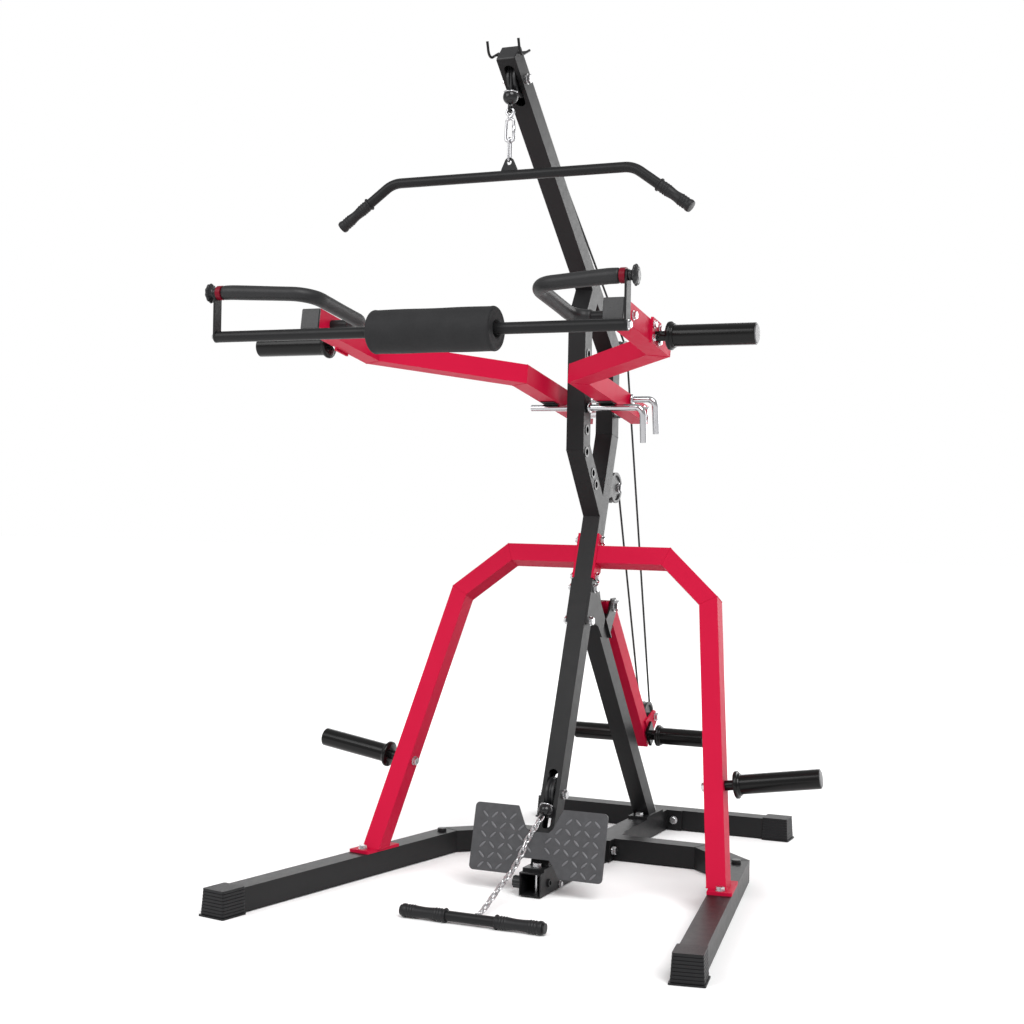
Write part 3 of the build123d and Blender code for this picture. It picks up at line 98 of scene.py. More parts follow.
CABLE_R = 0.003
WRAP_R = 0.041
TOP_PULLEY = (-0.170, 2.052)
GUIDE_PULLEY = (0.615, 1.445)
LEVER_PULLEY = (0.882, 0.370)
BACK_PULLEY = (0.558, 1.062)
LOW_PULLEY = (0.161, 0.243)
LEVER_PIVOT = (0.497, 0.727)
LEVER_LIFT = math.radians(27.0)
LAT_Y = -0.211
LAT_BALL_Z = 2.000
LAT_BALL_R = 0.019
ROW_BALL = (0.097, 0.209)

ARM_ACROSS = np.array([1.0, 0.0, 0.0])
ARM_BACK = np.array([0.0, math.cos(ARM_TILT), -math.sin(ARM_TILT)])
ARM_UP = np.array([0.0, math.sin(ARM_TILT), math.cos(ARM_TILT)])


# ---------------------------------------------------------------- settings a user can change
class GymFinishSettings(bpy.types.PropertyGroup):
    """Colours of the powder coats."""

    crimson: FloatVectorProperty(
        name="Crimson", description="Colour of the arms, the arch and the lever", subtype="COLOR",
        size=3, min=0.0, max=1.0, default=(0.49, 0.0055, 0.038))
    graphite: FloatVectorProperty(
        name="Graphite", description="Colour of the base, the mast and the tower", subtype="COLOR",
        size=3, min=0.0, max=1.0, default=(0.0075, 0.0075, 0.0080))
    grain: FloatProperty(
        name="Paint grain", description="Depth of the powder coat's orange peel", unit="LENGTH",
        min=0.0, max=0.001, default=0.00013, precision=5)


class GymDetailSettings(bpy.types.PropertyGroup):
    """Sizes of the fine detail."""

    bead: FloatProperty(
        name="Weld bead", description="Radius of the weld beads", unit="LENGTH", min=0.0, max=0.005,
        default=0.0016, precision=4)
    tread: FloatProperty(
        name="Tread height", description="Height of the foot plate's raised bars", unit="LENGTH",
        min=0.0, max=0.004, default=0.0022, precision=4)
    rib: FloatProperty(
        name="Grip rib", description="Height of the ribs on the rubber grips", unit="LENGTH",
        min=0.0, max=0.004, default=0.0012, precision=4)


class GymStageSettings(bpy.types.PropertyGroup):
    """Camera and light."""

    lens: FloatProperty(
        name="Lens", description="Focal length of the camera", min=20.0, max=200.0, default=56.69)
    sky: FloatProperty(
        name="Sky level", description="Strength of the plain surrounding light", min=0.0, max=2.0,
        default=0.54)
    sun: FloatProperty(
        name="Lamp level", description="Strength of the soft lamp above and to the right", min=0.0, max=10.0,
        default=2.35)
    side: FloatProperty(
        name="Side lamp", description="Power of the lamp behind and to the right", min=0.0, max=2000.0,
        default=130.0)
    back: FloatProperty(
        name="Back lamp", description="Power of the wide lamp behind and to the left", min=0.0, max=2000.0,
        default=70.0)
    front: FloatProperty(
        name="Front lamp", description="Power of the high lamp in front and to the left", min=0.0, max=2000.0,
        default=85.0)


# ---------------------------------------------------------------- surfaces
def grid_faces(rows, columns, closed_rows=False):
    """Quads of a grid whose columns wrap round; rows wrap too for a ring."""
    row_count = rows if closed_rows else rows - 1
    i, j = np.meshgrid(np.arange(row_count), np.arange(columns), indexing="ij")
    below, beside = (i + 1) % rows, (j + 1) % columns
    corners = (i * columns + j, i * columns + beside, below * columns + beside, below * columns + j)
    return np.stack(corners, -1).reshape(-1, 4)


def piece(name, shape, slot, body, finish=None, smooth=True):
    """A mesh object in the frame's axes that rides on a body, in its slot's finish or in the one named."""
    points, faces = shape
    mesh = bpy.data.meshes.new(name)
    mesh.from_pydata(np.asarray(points, float).tolist(), [], [list(face) for face in faces])
    if smooth:
        mesh.polygons.foreach_set("use_smooth", np.ones(len(mesh.polygons), bool))
    mesh.materials.append(finishes()[finish or slot])
    mesh.update()
    made = bpy.data.objects.new(name, mesh)
    bpy.context.scene.collection.objects.link(made)
    if body:
        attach(made, body)
    return made


def rounded_run(points, bends, step=0.006):
    """Straight runs joined by arcs, each with its centre on the corner's bisector."""
    points = np.asarray(points, float)
    pieces = [points[:1]]
    for corner, bend in zip(range(1, len(points) - 1), bends):
        before = points[corner - 1] - points[corner]
        after = points[corner + 1] - points[corner]
        before, after = before / np.linalg.norm(before), after / np.linalg.norm(after)
        turn = math.pi - math.acos(np.clip(before @ after, -1, 1))
        middle = (before + after) / np.linalg.norm(before + after)
        centre = points[corner] + middle * bend / math.cos(turn / 2)
        start = points[corner] + before * bend * math.tan(turn / 2) - centre
        away = -before
        angle = np.linspace(0, turn, max(4, int(bend * turn / step)))[:, None]
        pieces.append(centre + start * np.cos(angle) + away * bend * np.sin(angle))
    pieces.append(points[-1:])
    run = np.concatenate(pieces)
    lengths = np.concatenate([[0], np.cumsum(np.linalg.norm(np.diff(run, axis=0), axis=1))])
    even = np.linspace(0, lengths[-1], max(3, int(lengths[-1] / step)))
    return np.stack([np.interp(even, lengths, run[:, k]) for k in range(3)], 1)


def tube(path, across, radius, sides=24, closed=False, ends=True):
    """A ring of points of the given radius carried square to a path; across is square to the path's plane."""
    path = np.asarray(path, float)
    if closed:
        tangent = np.roll(path, -1, 0) - np.roll(path, 1, 0)
    else:
        tangent = np.gradient(path, axis=0)
    tangent /= np.linalg.norm(tangent, axis=1)[:, None]
    up = np.asarray(across, float) - (tangent @ np.asarray(across, float))[:, None] * tangent
    up /= np.linalg.norm(up, axis=1)[:, None]
    side = np.cross(tangent, up)
    angle = np.linspace(0, 2 * np.pi, sides, endpoint=False)
    reach = np.broadcast_to(np.asarray(radius, float), (len(path),))[:, None, None]
    ring = up[:, None] * np.cos(angle)[None, :, None] + side[:, None] * np.sin(angle)[None, :, None]
    points = (path[:, None] + reach * ring).reshape(-1, 3)
    faces = grid_faces(len(path), sides, closed).tolist()
    if ends and not closed:
        faces.append(list(range(sides))[::-1])
        faces.append(list(range((len(path) - 1) * sides, len(path) * sides)))
    return points, faces


def lathe(origin, axis, profile, sides=48, lobes=0, depth=0.0, lobe_from=0.0):
    """A profile of (distance, radius) turned about an axis; lobes scallop every radius past lobe_from."""
    profile = np.asarray(profile, float)
    axis = np.asarray(axis, float) / np.linalg.norm(axis)
    helper = np.array([0.0, 0.0, 1.0]) if abs(axis[2]) < 0.9 else np.array([0.0, 1.0, 0.0])
    up = helper - (helper @ axis) * axis
    up /= np.linalg.norm(up)
    side = np.cross(axis, up)
    angle = np.linspace(0, 2 * np.pi, sides, endpoint=False)
    ring = up * np.cos(angle)[:, None] + side * np.sin(angle)[:, None]
    radius = profile[:, 1][:, None] * np.ones(sides)
    if lobes:
        wave = depth * (0.5 - 0.5 * np.cos(lobes * angle))
        radius = np.where(radius > lobe_from, radius - wave[None, :], radius)
    points = np.asarray(origin, float) + profile[:, 0][:, None, None] * axis + radius[..., None] * ring[None]
    points = points.reshape(-1, 3)
    faces = grid_faces(len(profile), sides).tolist()
    if profile[0, 1] > 0:
        faces.append(list(range(sides))[::-1])
    if profile[-1, 1] > 0:
        faces.append(list(range((len(profile) - 1) * sides, len(profile) * sides)))
    return points, faces


def joined(parts):
    """Several shapes as one list of points and faces."""
    points, faces, start = [], [], 0
    for part_points, part_faces in parts:
        points.append(part_points)
        faces += [[start + corner for corner in face] for face in part_faces]
        start += len(part_points)
    return np.concatenate(points), faces


def flipped(shape):
    """The same shape on the other side of the gym: X changes sign and each face turns round."""
    points, faces = shape
    return np.asarray(points) * (-1, 1, 1), [list(face)[::-1] for face in faces]


# ---------------------------------------------------------------- finishes
FINISHES = {}


def surface(name, colour, second, rough, spread, patch, grain, height, metal=0.0, cells=False, specular=0.5):
    """A finish whose colour drifts between two tones, with uneven gloss and a fine relief.

    Roughness runs from rough - spread to rough + spread. patch and grain are the number of colour patches and
    of grains of relief in a metre, and height is the depth of the relief in metres.
    """
    made = bpy.data.materials.new(name + "_finish")
    FINISHES[name] = made
    made.use_nodes = True
    nodes, links = made.node_tree.nodes, made.node_tree.links
    nodes.clear()
    output = nodes.new("ShaderNodeOutputMaterial")
    shader = nodes.new("ShaderNodeBsdfPrincipled")
    links.new(shader.outputs["BSDF"], output.inputs["Surface"])
    place = nodes.new("ShaderNodeTexCoord")
    drift = nodes.new("ShaderNodeTexNoise")
    drift.inputs["Scale"].default_value = patch
    drift.inputs["Detail"].default_value = 5.0
    links.new(place.outputs["Object"], drift.inputs["Vector"])
    tones = nodes.new("ShaderNodeMix")
    tones.data_type = "RGBA"
    tones.inputs["A"].default_value = (*colour, 1.0)
    tones.inputs["B"].default_value = (*second, 1.0)
    links.new(drift.outputs["Fac"], tones.inputs["Factor"])
    links.new(tones.outputs["Result"], shader.inputs["Base Color"])
    gloss = nodes.new("ShaderNodeMapRange")
    gloss.inputs["To Min"].default_value = rough - spread
    gloss.inputs["To Max"].default_value = rough + spread
    smear = nodes.new("ShaderNodeTexNoise")
    smear.inputs["Scale"].default_value = patch * 6
    smear.inputs["Detail"].default_value = 4.0
    links.new(place.outputs["Object"], smear.inputs["Vector"])
    links.new(smear.outputs["Fac"], gloss.inputs["Value"])
    links.new(gloss.outputs["Result"], shader.inputs["Roughness"])
    relief = nodes.new("ShaderNodeTexVoronoi" if cells else "ShaderNodeTexNoise")
    relief.inputs["Scale"].default_value = grain
    links.new(place.outputs["Object"], relief.inputs["Vector"])
    bump = nodes.new("ShaderNodeBump")
    bump.inputs["Strength"].default_value = 0.6
    bump.inputs["Distance"].default_value = height
    links.new(relief.outputs["Distance" if cells else "Fac"], bump.inputs["Height"])
    links.new(bump.outputs["Normal"], shader.inputs["Normal"])
    shader.inputs["Metallic"].default_value = metal
    shader.inputs["Specular IOR Level"].default_value = specular
    return made


def shade(colour, factor):
    return tuple(min(1.0, channel * factor) for channel in colour)


def finishes():
    """Makes every finish once and returns them by the record's slot names."""
    settings = bpy.context.scene.gym_finish
    red, black, peel = tuple(settings.crimson), tuple(settings.graphite), settings.grain
    if not FINISHES:
        surface("crimson_paint", red, shade(red, 0.88),
                0.44, 0.06, 7.0, 520.0, peel, specular=0.06)
        surface("black_paint", black, shade(black, 1.5),
                0.40, 0.06, 8.0, 900.0, peel * 1.3, specular=0.20)
        surface("grey_paint", shade(black, 1.4), shade(black, 2.2),
                0.38, 0.06, 8.0, 700.0, peel, specular=0.28)
        # The grip collars' red is the crimson darkened to about a third, a shaded copy of the crimson:
        # painted shade.
        surface("collar_red", shade(red, 0.34), shade(red, 0.26),
                0.38, 0.05, 30.0, 700.0, peel, specular=0.15)
        surface("tread_plate", shade(black, 5.0), shade(black, 9.0),
                0.42, 0.08, 60.0, 1300.0, peel * 2.2, specular=0.35)
        surface("tread_bar", shade(black, 12.0), shade(black, 19.0),
                0.34, 0.08, 60.0, 1100.0, peel, specular=0.5)
        surface("gloss_sleeve", (0.003, 0.003, 0.003), (0.006, 0.006, 0.006),
                0.20, 0.05, 20.0, 300.0, 0.00004, specular=0.22)
        surface("sleeve_end", (0.07, 0.07, 0.073), (0.10, 0.10, 0.104),
                0.42, 0.08, 60.0, 600.0, 0.00008)
        surface("black_plastic", (0.008, 0.008, 0.009), (0.016, 0.016, 0.017),
                0.30, 0.08, 40.0, 1500.0, 0.00005, specular=0.35)
        surface("boot_rubber", (0.004, 0.004, 0.005), (0.010, 0.010, 0.011),
                0.46, 0.10, 30.0, 1300.0, 0.00012, specular=0.28)
        surface("grip_rubber", (0.006, 0.006, 0.007), (0.012, 0.012, 0.013),
                0.46, 0.08, 40.0, 1500.0, 0.00010, specular=0.28)
        surface("foam", (0.010, 0.010, 0.011), (0.018, 0.018, 0.019),
                0.70, 0.08, 25.0, 900.0, 0.00030, cells=True, specular=0.25)
        surface("smooth_foam", (0.008, 0.008, 0.009), (0.014, 0.014, 0.015),
                0.48, 0.06, 25.0, 1200.0, 0.00008, specular=0.35)
        surface("pulley_nylon", (0.010, 0.010, 0.011), (0.022, 0.022, 0.023),
                0.38, 0.08, 40.0, 800.0, 0.00006, specular=0.35)
        surface("zinc", (0.55, 0.55, 0.57), (0.74, 0.74, 0.74),
                0.28, 0.09, 60.0, 900.0, 0.00008, metal=1.0)
        surface("chrome", (0.44, 0.44, 0.46), (0.56, 0.56, 0.57),
                0.14, 0.05, 30.0, 500.0, 0.00002, metal=1.0)
        surface("cable_coat", (0.008, 0.008, 0.009), (0.015, 0.015, 0.016),
                0.40, 0.08, 60.0, 1200.0, 0.00008, specular=0.3)
        surface("stop_ball", (0.005, 0.005, 0.006), (0.010, 0.010, 0.011),
                0.22, 0.06, 40.0, 600.0, 0.00003, specular=0.4)
    return FINISHES


class GYM_OT_paint_frame(bpy.types.Operator):
    """Give every carried-over part of the frame its finish"""

    bl_idname = "gym.paint_frame"
    bl_label = "Paint the frame"

    def execute(self, context):
        coats = finishes()
        slots = {entry["node"]: entry["material_slot"] for entry in frame["record"]["subparts"]}
        for node, part in CAD_NODES.items():
            part.data.materials.clear()
            # The grip collars take the darkened copy of the crimson, painted shade, instead of their slot's
            # finish.
            part.data.materials.append(coats["collar_red" if node == "grip_collars" else slots[node]])
        return {"FINISHED"}


# ---------------------------------------------------------------- weld beads
BEAD_STEP = 0.0022
BEAD_SWELL = 0.22
BEAD_RIPPLE = 0.0011
STRUT_LINE = [(0.410, 0.682), (0.895, 0.068)]


def corner_loop(line, corner, to_space, half, depth):
    """Corners of the seam where two square tubes of a bent line meet, on the plane that halves the bend."""
    points = np.asarray(line, float)
    into = points[corner] - points[corner - 1]
    out = points[corner + 1] - points[corner]
    into, out = into / np.linalg.norm(into), out / np.linalg.norm(out)
    normal = np.array([-(into + out)[1], (into + out)[0]])
    normal /= np.linalg.norm(normal)
    reach = half / (normal @ np.array([-into[1], into[0]]))
    low, high = points[corner] - normal * reach, points[corner] + normal * reach
    return [to_space(low, -depth), to_space(high, -depth), to_space(high, depth), to_space(low, depth)]


def foot_loop(point, along, first, second, height):
    """Where the four edges of a leaning square tube reach a level plane."""
    point, along, first, second = (np.asarray(vector, float) for vector in (point, along, first, second))
    corners = []
    for sign_a, sign_b in ((-1, -1), (1, -1), (1, 1), (-1, 1)):
        start = point + sign_a * first + sign_b * second
        corners.append(start + along * (height - start[2]) / along[2])
    return corners


def bead(loop, radius):
    """A weld bead round a loop of corners: a small tube whose radius follows a sine along its length."""
    corners = np.asarray(loop, float)
    sides = np.roll(corners, -1, 0) - corners
    counts = [max(3, int(np.linalg.norm(side) / BEAD_STEP)) for side in sides]
    path = np.concatenate([corner + side * np.linspace(0, 1, count, endpoint=False)[:, None]
                           for corner, side, count in zip(corners, sides, counts)])
    travelled = np.cumsum(np.linalg.norm(np.diff(path, axis=0, append=path[:1]), axis=1))
    swell = radius * (1 + BEAD_SWELL * np.sin(travelled / BEAD_RIPPLE))
    across = np.cross(sides[0], sides[1])
    return tube(path, across / np.linalg.norm(across), swell, 6, closed=True)


def unit(vector):
    vector = np.asarray(vector, float)
    return vector / np.linalg.norm(vector)


def arch_space(point, depth):
    out = np.cross([1.0, 0.0, 0.0], ARCH_UP)
    return ARCH_ORIGIN + np.array([point[0], 0, 0]) + ARCH_UP * point[1] + out * depth


def side_space(point, depth):
    return np.array([depth, point[0], point[1]])


def base_space(point, depth):
    return np.array([point[0], point[1], 0.033 + depth])


def arm_space(point, rise):
    return PIVOT + ARM_ACROSS * point[0] + ARM_BACK * point[1] + ARM_UP * rise


class GYM_OT_lay_welds(bpy.types.Operator):
    """Lay the weld beads at the bends and feet of the square tubes"""

    bl_idname = "gym.lay_welds"
    bl_label = "Lay the welds"

    def execute(self, context):
        radius = context.scene.gym_detail.bead
        seam = radius * 0.55
        arch = [bead(corner_loop(ARCH_LINE, k, arch_space, HALF, HALF), seam) for k in (1, 2)]
        leg_dir = unit(arch_space(ARCH_LINE[3], 0) - arch_space(ARCH_LINE[2], 0))
        out = np.cross([1.0, 0.0, 0.0], ARCH_UP)
        sideways = unit(np.cross(leg_dir, out))
        foot = foot_loop(arch_space(ARCH_LINE[2], 0), leg_dir, sideways * HALF, out * HALF, FLANGE_TOP)
        arch.append(bead(foot, radius))
        piece("arch_welds", joined(arch + [flipped(shape) for shape in arch]), "crimson_paint", "frame")
        dark = [bead(corner_loop(MAST_LINE, k, side_space, HALF, HALF), seam) for k in (1, 2)]
        dark += [bead(corner_loop(POST_LINE, k, side_space, HALF, HALF), seam) for k in (1, 2)]
        legs = [bead(corner_loop(LEG_LINE, k, base_space, BASE_HALF, BASE_HALF), seam) for k in (1, 2)]
        dark += legs + [flipped(shape) for shape in legs]
        for start, end, foot_point in ((*MAST_LINE[:2], MAST_LINE[0]), (*STRUT_LINE, STRUT_LINE[1])):
            along = unit([0, end[0] - start[0], end[1] - start[1]])
            across = np.cross([1.0, 0.0, 0.0], along) * HALF
            dark.append(bead(foot_loop((0, *foot_point), along, (HALF, 0, 0), across, FLANGE_TOP), radius))
        piece("frame_welds", joined(dark), "black_paint", "frame")
        for body, turn in (("right_arm", lambda shape: shape), ("left_arm", flipped)):
            arms = [turn(bead(corner_loop(ARM_LINE, k, arm_space, HALF, HALF), seam)) for k in (1, 2)]
            piece(f"{body}_welds", joined(arms), "crimson_paint", body)
        return {"FINISHED"}


# ---------------------------------------------------------------- foot plate
FOOT_LOW = np.array([0.0, 0.026, 0.050])
FOOT_UP = unit([0.0, 0.041, 0.171])
FOOT_OUT = np.array([0.0, -FOOT_UP[2], FOOT_UP[1]])
FOOT_LENGTH = 0.1758
FOOT_HALF = 0.186


class GYM_OT_raise_tread(bpy.types.Operator):
    """Raise the crossed bars of the tread: lenses whose half width is the square root of 1 - u squared"""

    bl_idname = "gym.raise_tread"
    bl_label = "Raise the tread"

    def execute(self, context):
        height = context.scene.gym_detail.tread
        pitch, length, width = 0.0262, 0.0226, 0.0062
        columns = np.arange(-8, 9)
        rows = np.arange(0, 6)
        col, row = [grid.ravel() for grid in np.meshgrid(columns, rows)]
        centre_x = col * pitch + 0.003
        centre_y = 0.015 + row * pitch
        turned = np.where((col + row) % 2 == 0, 1.0, -1.0) * math.radians(45)
        outside = FOOT_HALF - 0.011
        notch = np.where(centre_y > 0.10, 0.036 + 0.45 * np.clip(centre_y - 0.118, 0, 1), 0.0)
        slot = np.where(centre_y < 0.055, 0.084 - 0.55 * centre_y, 0.0)
        keep = (np.abs(centre_x) < outside) & (centre_y < FOOT_LENGTH - 0.008)
        keep &= (np.abs(centre_x) > notch + 0.012) & (np.abs(centre_x) > slot + 0.008)
        keep &= (np.abs(centre_x) + (0.020 - centre_y) < FOOT_HALF - 0.002) | (centre_y > 0.030)
        centre_x, centre_y, turned = centre_x[keep], centre_y[keep], turned[keep]
        rows_along, round_it = 13, 12
        along = np.linspace(-0.985, 0.985, rows_along)
        about = np.linspace(0, 2 * np.pi, round_it, endpoint=False)
        u, angle = [grid.ravel() for grid in np.meshgrid(along, about, indexing="ij")]
        swell = np.sqrt(1 - u ** 2)
        local_x = u * length / 2
        local_y = width / 2 * swell * np.cos(angle)
        rise = np.where(np.sin(angle) > 0, height, 0.0004) * swell * np.sin(angle) - 0.0001
        x = centre_x[:, None] + local_x * np.cos(turned)[:, None] - local_y * np.sin(turned)[:, None]
        y = centre_y[:, None] + local_x * np.sin(turned)[:, None] + local_y * np.cos(turned)[:, None]
        points = FOOT_LOW + x[..., None] * np.array([1.0, 0, 0]) + y[..., None] * FOOT_UP
        points = points + rise[:, None] * FOOT_OUT
        count = rows_along * round_it
        sides = grid_faces(rows_along, round_it)
        ends = np.stack([np.arange(round_it)[::-1], np.arange(count - round_it, count)])
        starts = np.arange(len(centre_x))[:, None, None] * count
        faces = (starts + sides[None]).reshape(-1, 4).tolist()
        faces += (starts + ends[None]).reshape(-1, round_it).tolist()
        piece("tread_bars", (points.reshape(-1, 3), faces), "tread_plate", "frame", finish="tread_bar")
        return {"FINISHED"}


# ---------------------------------------------------------------- rubber grips
def grip_profile(length, radius, rib):
    """Radius along a rubber grip: a flange, a plain stretch, rings of ribs at both ends and a closed end."""
    t = np.linspace(0, length, 161)
    r = np.full_like(t, radius)
    for centre in (0.014, 0.021, 0.028, length - 0.032, length - 0.025, length - 0.018):
        r = np.maximum(r, radius + rib * np.exp(-((t - centre) / 0.0016) ** 2))
    waist = radius - 0.0012 * np.sin(np.pi * np.clip((t - 0.034) / (length - 0.070), 0, 1))
    r = np.minimum(r, np.maximum(waist, r - 0.0012 * ((t > 0.034) & (t < length - 0.036))))
    r += 0.0030 * np.exp(-((t - 0.0025) / 0.0026) ** 4)
    r += 0.0016 * np.exp(-((t - (length - 0.006)) / 0.0050) ** 4)
    lead = np.array([[0.0, 0.0126], [0.0, r[0] - 0.0008]])
    tail = np.array([[length, r[-1] - 0.0010], [length + 0.0008, r[-1] * 0.72], [length + 0.0009, 0.0005]])
    return np.concatenate([lead, np.stack([t + 0.0001, r], 1), tail])


class GYM_OT_fit_grips(bpy.types.Operator):
    """Fit the ribbed rubber grips of the lat bar and the row bar"""

    bl_idname = "gym.fit_grips"
    bl_label = "Fit the rubber grips"

    def execute(self, context):
        rib = context.scene.gym_detail.rib
        shoulder, end = np.array([0.3205, LAT_Y, 1.809]), np.array([0.463, LAT_Y, 1.707])
        outward = unit(end - shoulder)
        start = end - outward * 0.096
        lat = lathe(start, outward, grip_profile(0.099, 0.0138, rib))
        made_lat = piece("lat_grip_rubbers", joined([lat, flipped(lat)]), "grip_rubber", "lat")
        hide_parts("lat_grips")
        low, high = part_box("row_grips")
        y, z = (low.y + high.y) / 2, (low.z + high.z) / 2
        right = lathe((high.x - 0.124, y, z), (1, 0, 0), grip_profile(0.122, 0.0150, rib))
        left = lathe((low.x + 0.120, y, z), (-1, 0, 0), grip_profile(0.118, 0.0150, rib))
        made_row = piece("row_grip_rubbers", joined([right, left]), "grip_rubber", "row")
        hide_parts("row_grips")
        return {"FINISHED"}


# ---------------------------------------------------------------- foam
class GYM_OT_slide_on_foam(bpy.types.Operator):
    """Slide the foam onto the press handles and the roller bar"""

    bl_idname = "gym.slide_on_foam"
    bl_label = "Slide on the foam"

    def execute(self, context):
        flat = [arm_space(point, 0.0) for point in GRIP_LINE]
        path = rounded_run(flat, GRIP_BENDS, 0.004)
        travelled = np.concatenate([[0], np.cumsum(np.linalg.norm(np.diff(path, axis=0), axis=1))])
        to_end = np.minimum(travelled, travelled[-1] - travelled)
        radius = 0.0165 - 0.0022 * np.exp(-to_end / 0.0016) + 0.00025 * np.sin(travelled / 0.031)
        for body, turn in (("right_arm", lambda shape: shape), ("left_arm", flipped)):
            side = body.split("_")[0]
            sleeve = turn(tube(path, ARM_UP, radius, 32))
            foam = piece(f"handle_foam_sleeve_{side}", sleeve, "foam", body, finish="smooth_foam")
            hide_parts(f"handle_foam_{side}")
        low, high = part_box("foam_roller")
        centre = ((low.y + high.y) / 2, (low.z + high.z) / 2)
        outer = (high.y - low.y) / 2
        length = high.x - low.x
        edge = np.linspace(0, math.pi / 2, 9)
        fold = 0.007
        left = np.stack([fold - fold * np.cos(edge), outer - fold + fold * np.sin(edge)], 1)
        t = np.linspace(fold, length - fold, 60)[1:-1]
        body_line = np.stack([t, outer - 0.0007 * np.cos(2 * np.pi * t / length) ** 2], 1)
        right = np.stack([length - left[::-1, 0], left[::-1, 1]], 1)
        hole = 0.0185
        rim = [[0.014, 0.0129], [0.0138, hole - 0.001], [0.0016, hole], [0.0, hole + 0.003]]
        dish = [[0.0004 * k, hole + 0.003 + (outer - fold - hole - 0.003) * k / 4] for k in range(1, 4)]
        far_end = [[length - d, r] for d, r in (rim + dish)[::-1]]
        profile = np.array(rim + dish + left.tolist() + body_line.tolist() + right.tolist() + far_end)
        sleeve = lathe((low.x, *centre), (1, 0, 0), profile, 72)
        roller = piece("foam_roller_sleeve", sleeve, "foam", "roller_foam")
        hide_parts("foam_roller")
        return {"FINISHED"}


# ---------------------------------------------------------------- plate horns
class GYM_OT_cap_horns(bpy.types.Operator):
    """Cap the plate horns with discs and dress their collars"""

    bl_idname = "gym.cap_horns"
    bl_label = "Cap the plate horns"

    def execute(self, context):
        disc = [(-0.0005, 0.0225), (0.0006, 0.0222), (0.0016, 0.0205), (0.0019, 0.0180), (0.0019, 0.0005)]
        collar = [(-0.0088, 0.0130), (-0.0090, -0.0016), (-0.0074, 0.0006), (-0.0040, 0.0012),
                  (-0.0006, 0.0006), (0.0008, -0.0014), (0.0012, -0.0036), (0.0026, 0.0290),
                  (0.0052, 0.0284), (0.0070, 0.0270),
                  (0.0074, 0.0251)]
        for body, name, flange in (("right_arm", "press_horn", 0.032), ("frame", "storage_horn", 0.034),
                                   ("lever", "lever_horn", 0.031)):
            for side in ("right", "left"):
                found = [m for m in frame["record"]["mounts"] if m["name"] == f"{name}_{side}"][0]
                rider = body.replace("right", side)
                axis = unit(found["axis"])
                middle = np.array(found["pos_m"])
                half = found["dims"]["length_mm"] / 2000
                end = middle + axis * (half + 0.0015)
                cap = lathe(end, axis, disc)
                piece(f"{name}_disc_{side}", cap, "black_plastic", rider, finish="sleeve_end")
                seat = middle - axis * (half + 0.0015)
                rim = [(d, r if r > 0.01 else flange + r) for d, r in collar]
                piece(f"{name}_collar_{side}", lathe(seat, axis, rim, 64), "gloss_sleeve", rider)
        return {"FINISHED"}


# ---------------------------------------------------------------- knobs, hooks and links
def ring_path(centre, tall, wide, first, second, corners=28, taper=0.0):
    """A closed oval of half circles joined by straight sides; taper narrows its lower end."""
    angle = np.linspace(0, 2 * np.pi, corners * 4, endpoint=False)
    up = np.sin(angle)
    side = np.cos(angle)
    reach = tall / 2 - wide / 2
    width = wide / 2 * (1 - taper * (0.5 - 0.5 * up))
    return (np.asarray(centre) + np.outer(side * width, first)
            + np.outer(np.sign(up) * reach * np.minimum(1, np.abs(up) * 4) + up * wide / 2, second))


class GYM_OT_hang_links(bpy.types.Operator):
    """Hang the snap hook and the links under the lat ball"""

    bl_idname = "gym.hang_links"
    bl_label = "Hang the snap hook"

    def execute(self, context):
        low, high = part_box("lat_carabiner")
        y, wire = LAT_Y, 0.0035
        top = high.z - wire
        link_top, link_low = 1.8996, low.z + wire
        eye = ring_path((0, y, top - 0.0085), 0.0176, 0.0176, (1, 0, 0), (0, 0, 1))
        barrel_line = [(0, 0.0034), (0.0010, 0.0060), (0.0100, 0.0062), (0.0120, 0.0044), (0.0140, 0.0030)]
        barrel = lathe((0, y, top - 0.0280), (0, 0, 1), barrel_line, 24)
        body_top, body_low = top - 0.0240, 1.8920
        pear = ring_path((0, y, (body_top + body_low) / 2), body_top - body_low, 0.0140, (1, 0, 0), (0, 0, 1),
                         taper=-0.9)
        link = ring_path((0, y, (link_top + link_low) / 2), link_top - link_low, 0.0150, (0, 1, 0), (0, 0, 1))
        gate = lathe((0.0105, y, body_low + 0.0120), (-0.04, 0, 1),
                     [(0, 0.0028), (0.001, 0.0042), (0.026, 0.0042), (0.027, 0.0028)], 20)
        parts = [tube(eye, (0, 1, 0), 0.0034, 12, closed=True), barrel,
                 tube(pear, (0, 1, 0), 0.0036, 12, closed=True),
                 tube(link, (1, 0, 0), 0.0030, 12, closed=True), gate]
        made_hook = piece("snap_hook_and_link", joined(parts), "chrome", "lat")
        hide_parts("lat_carabiner")
        return {"FINISHED"}


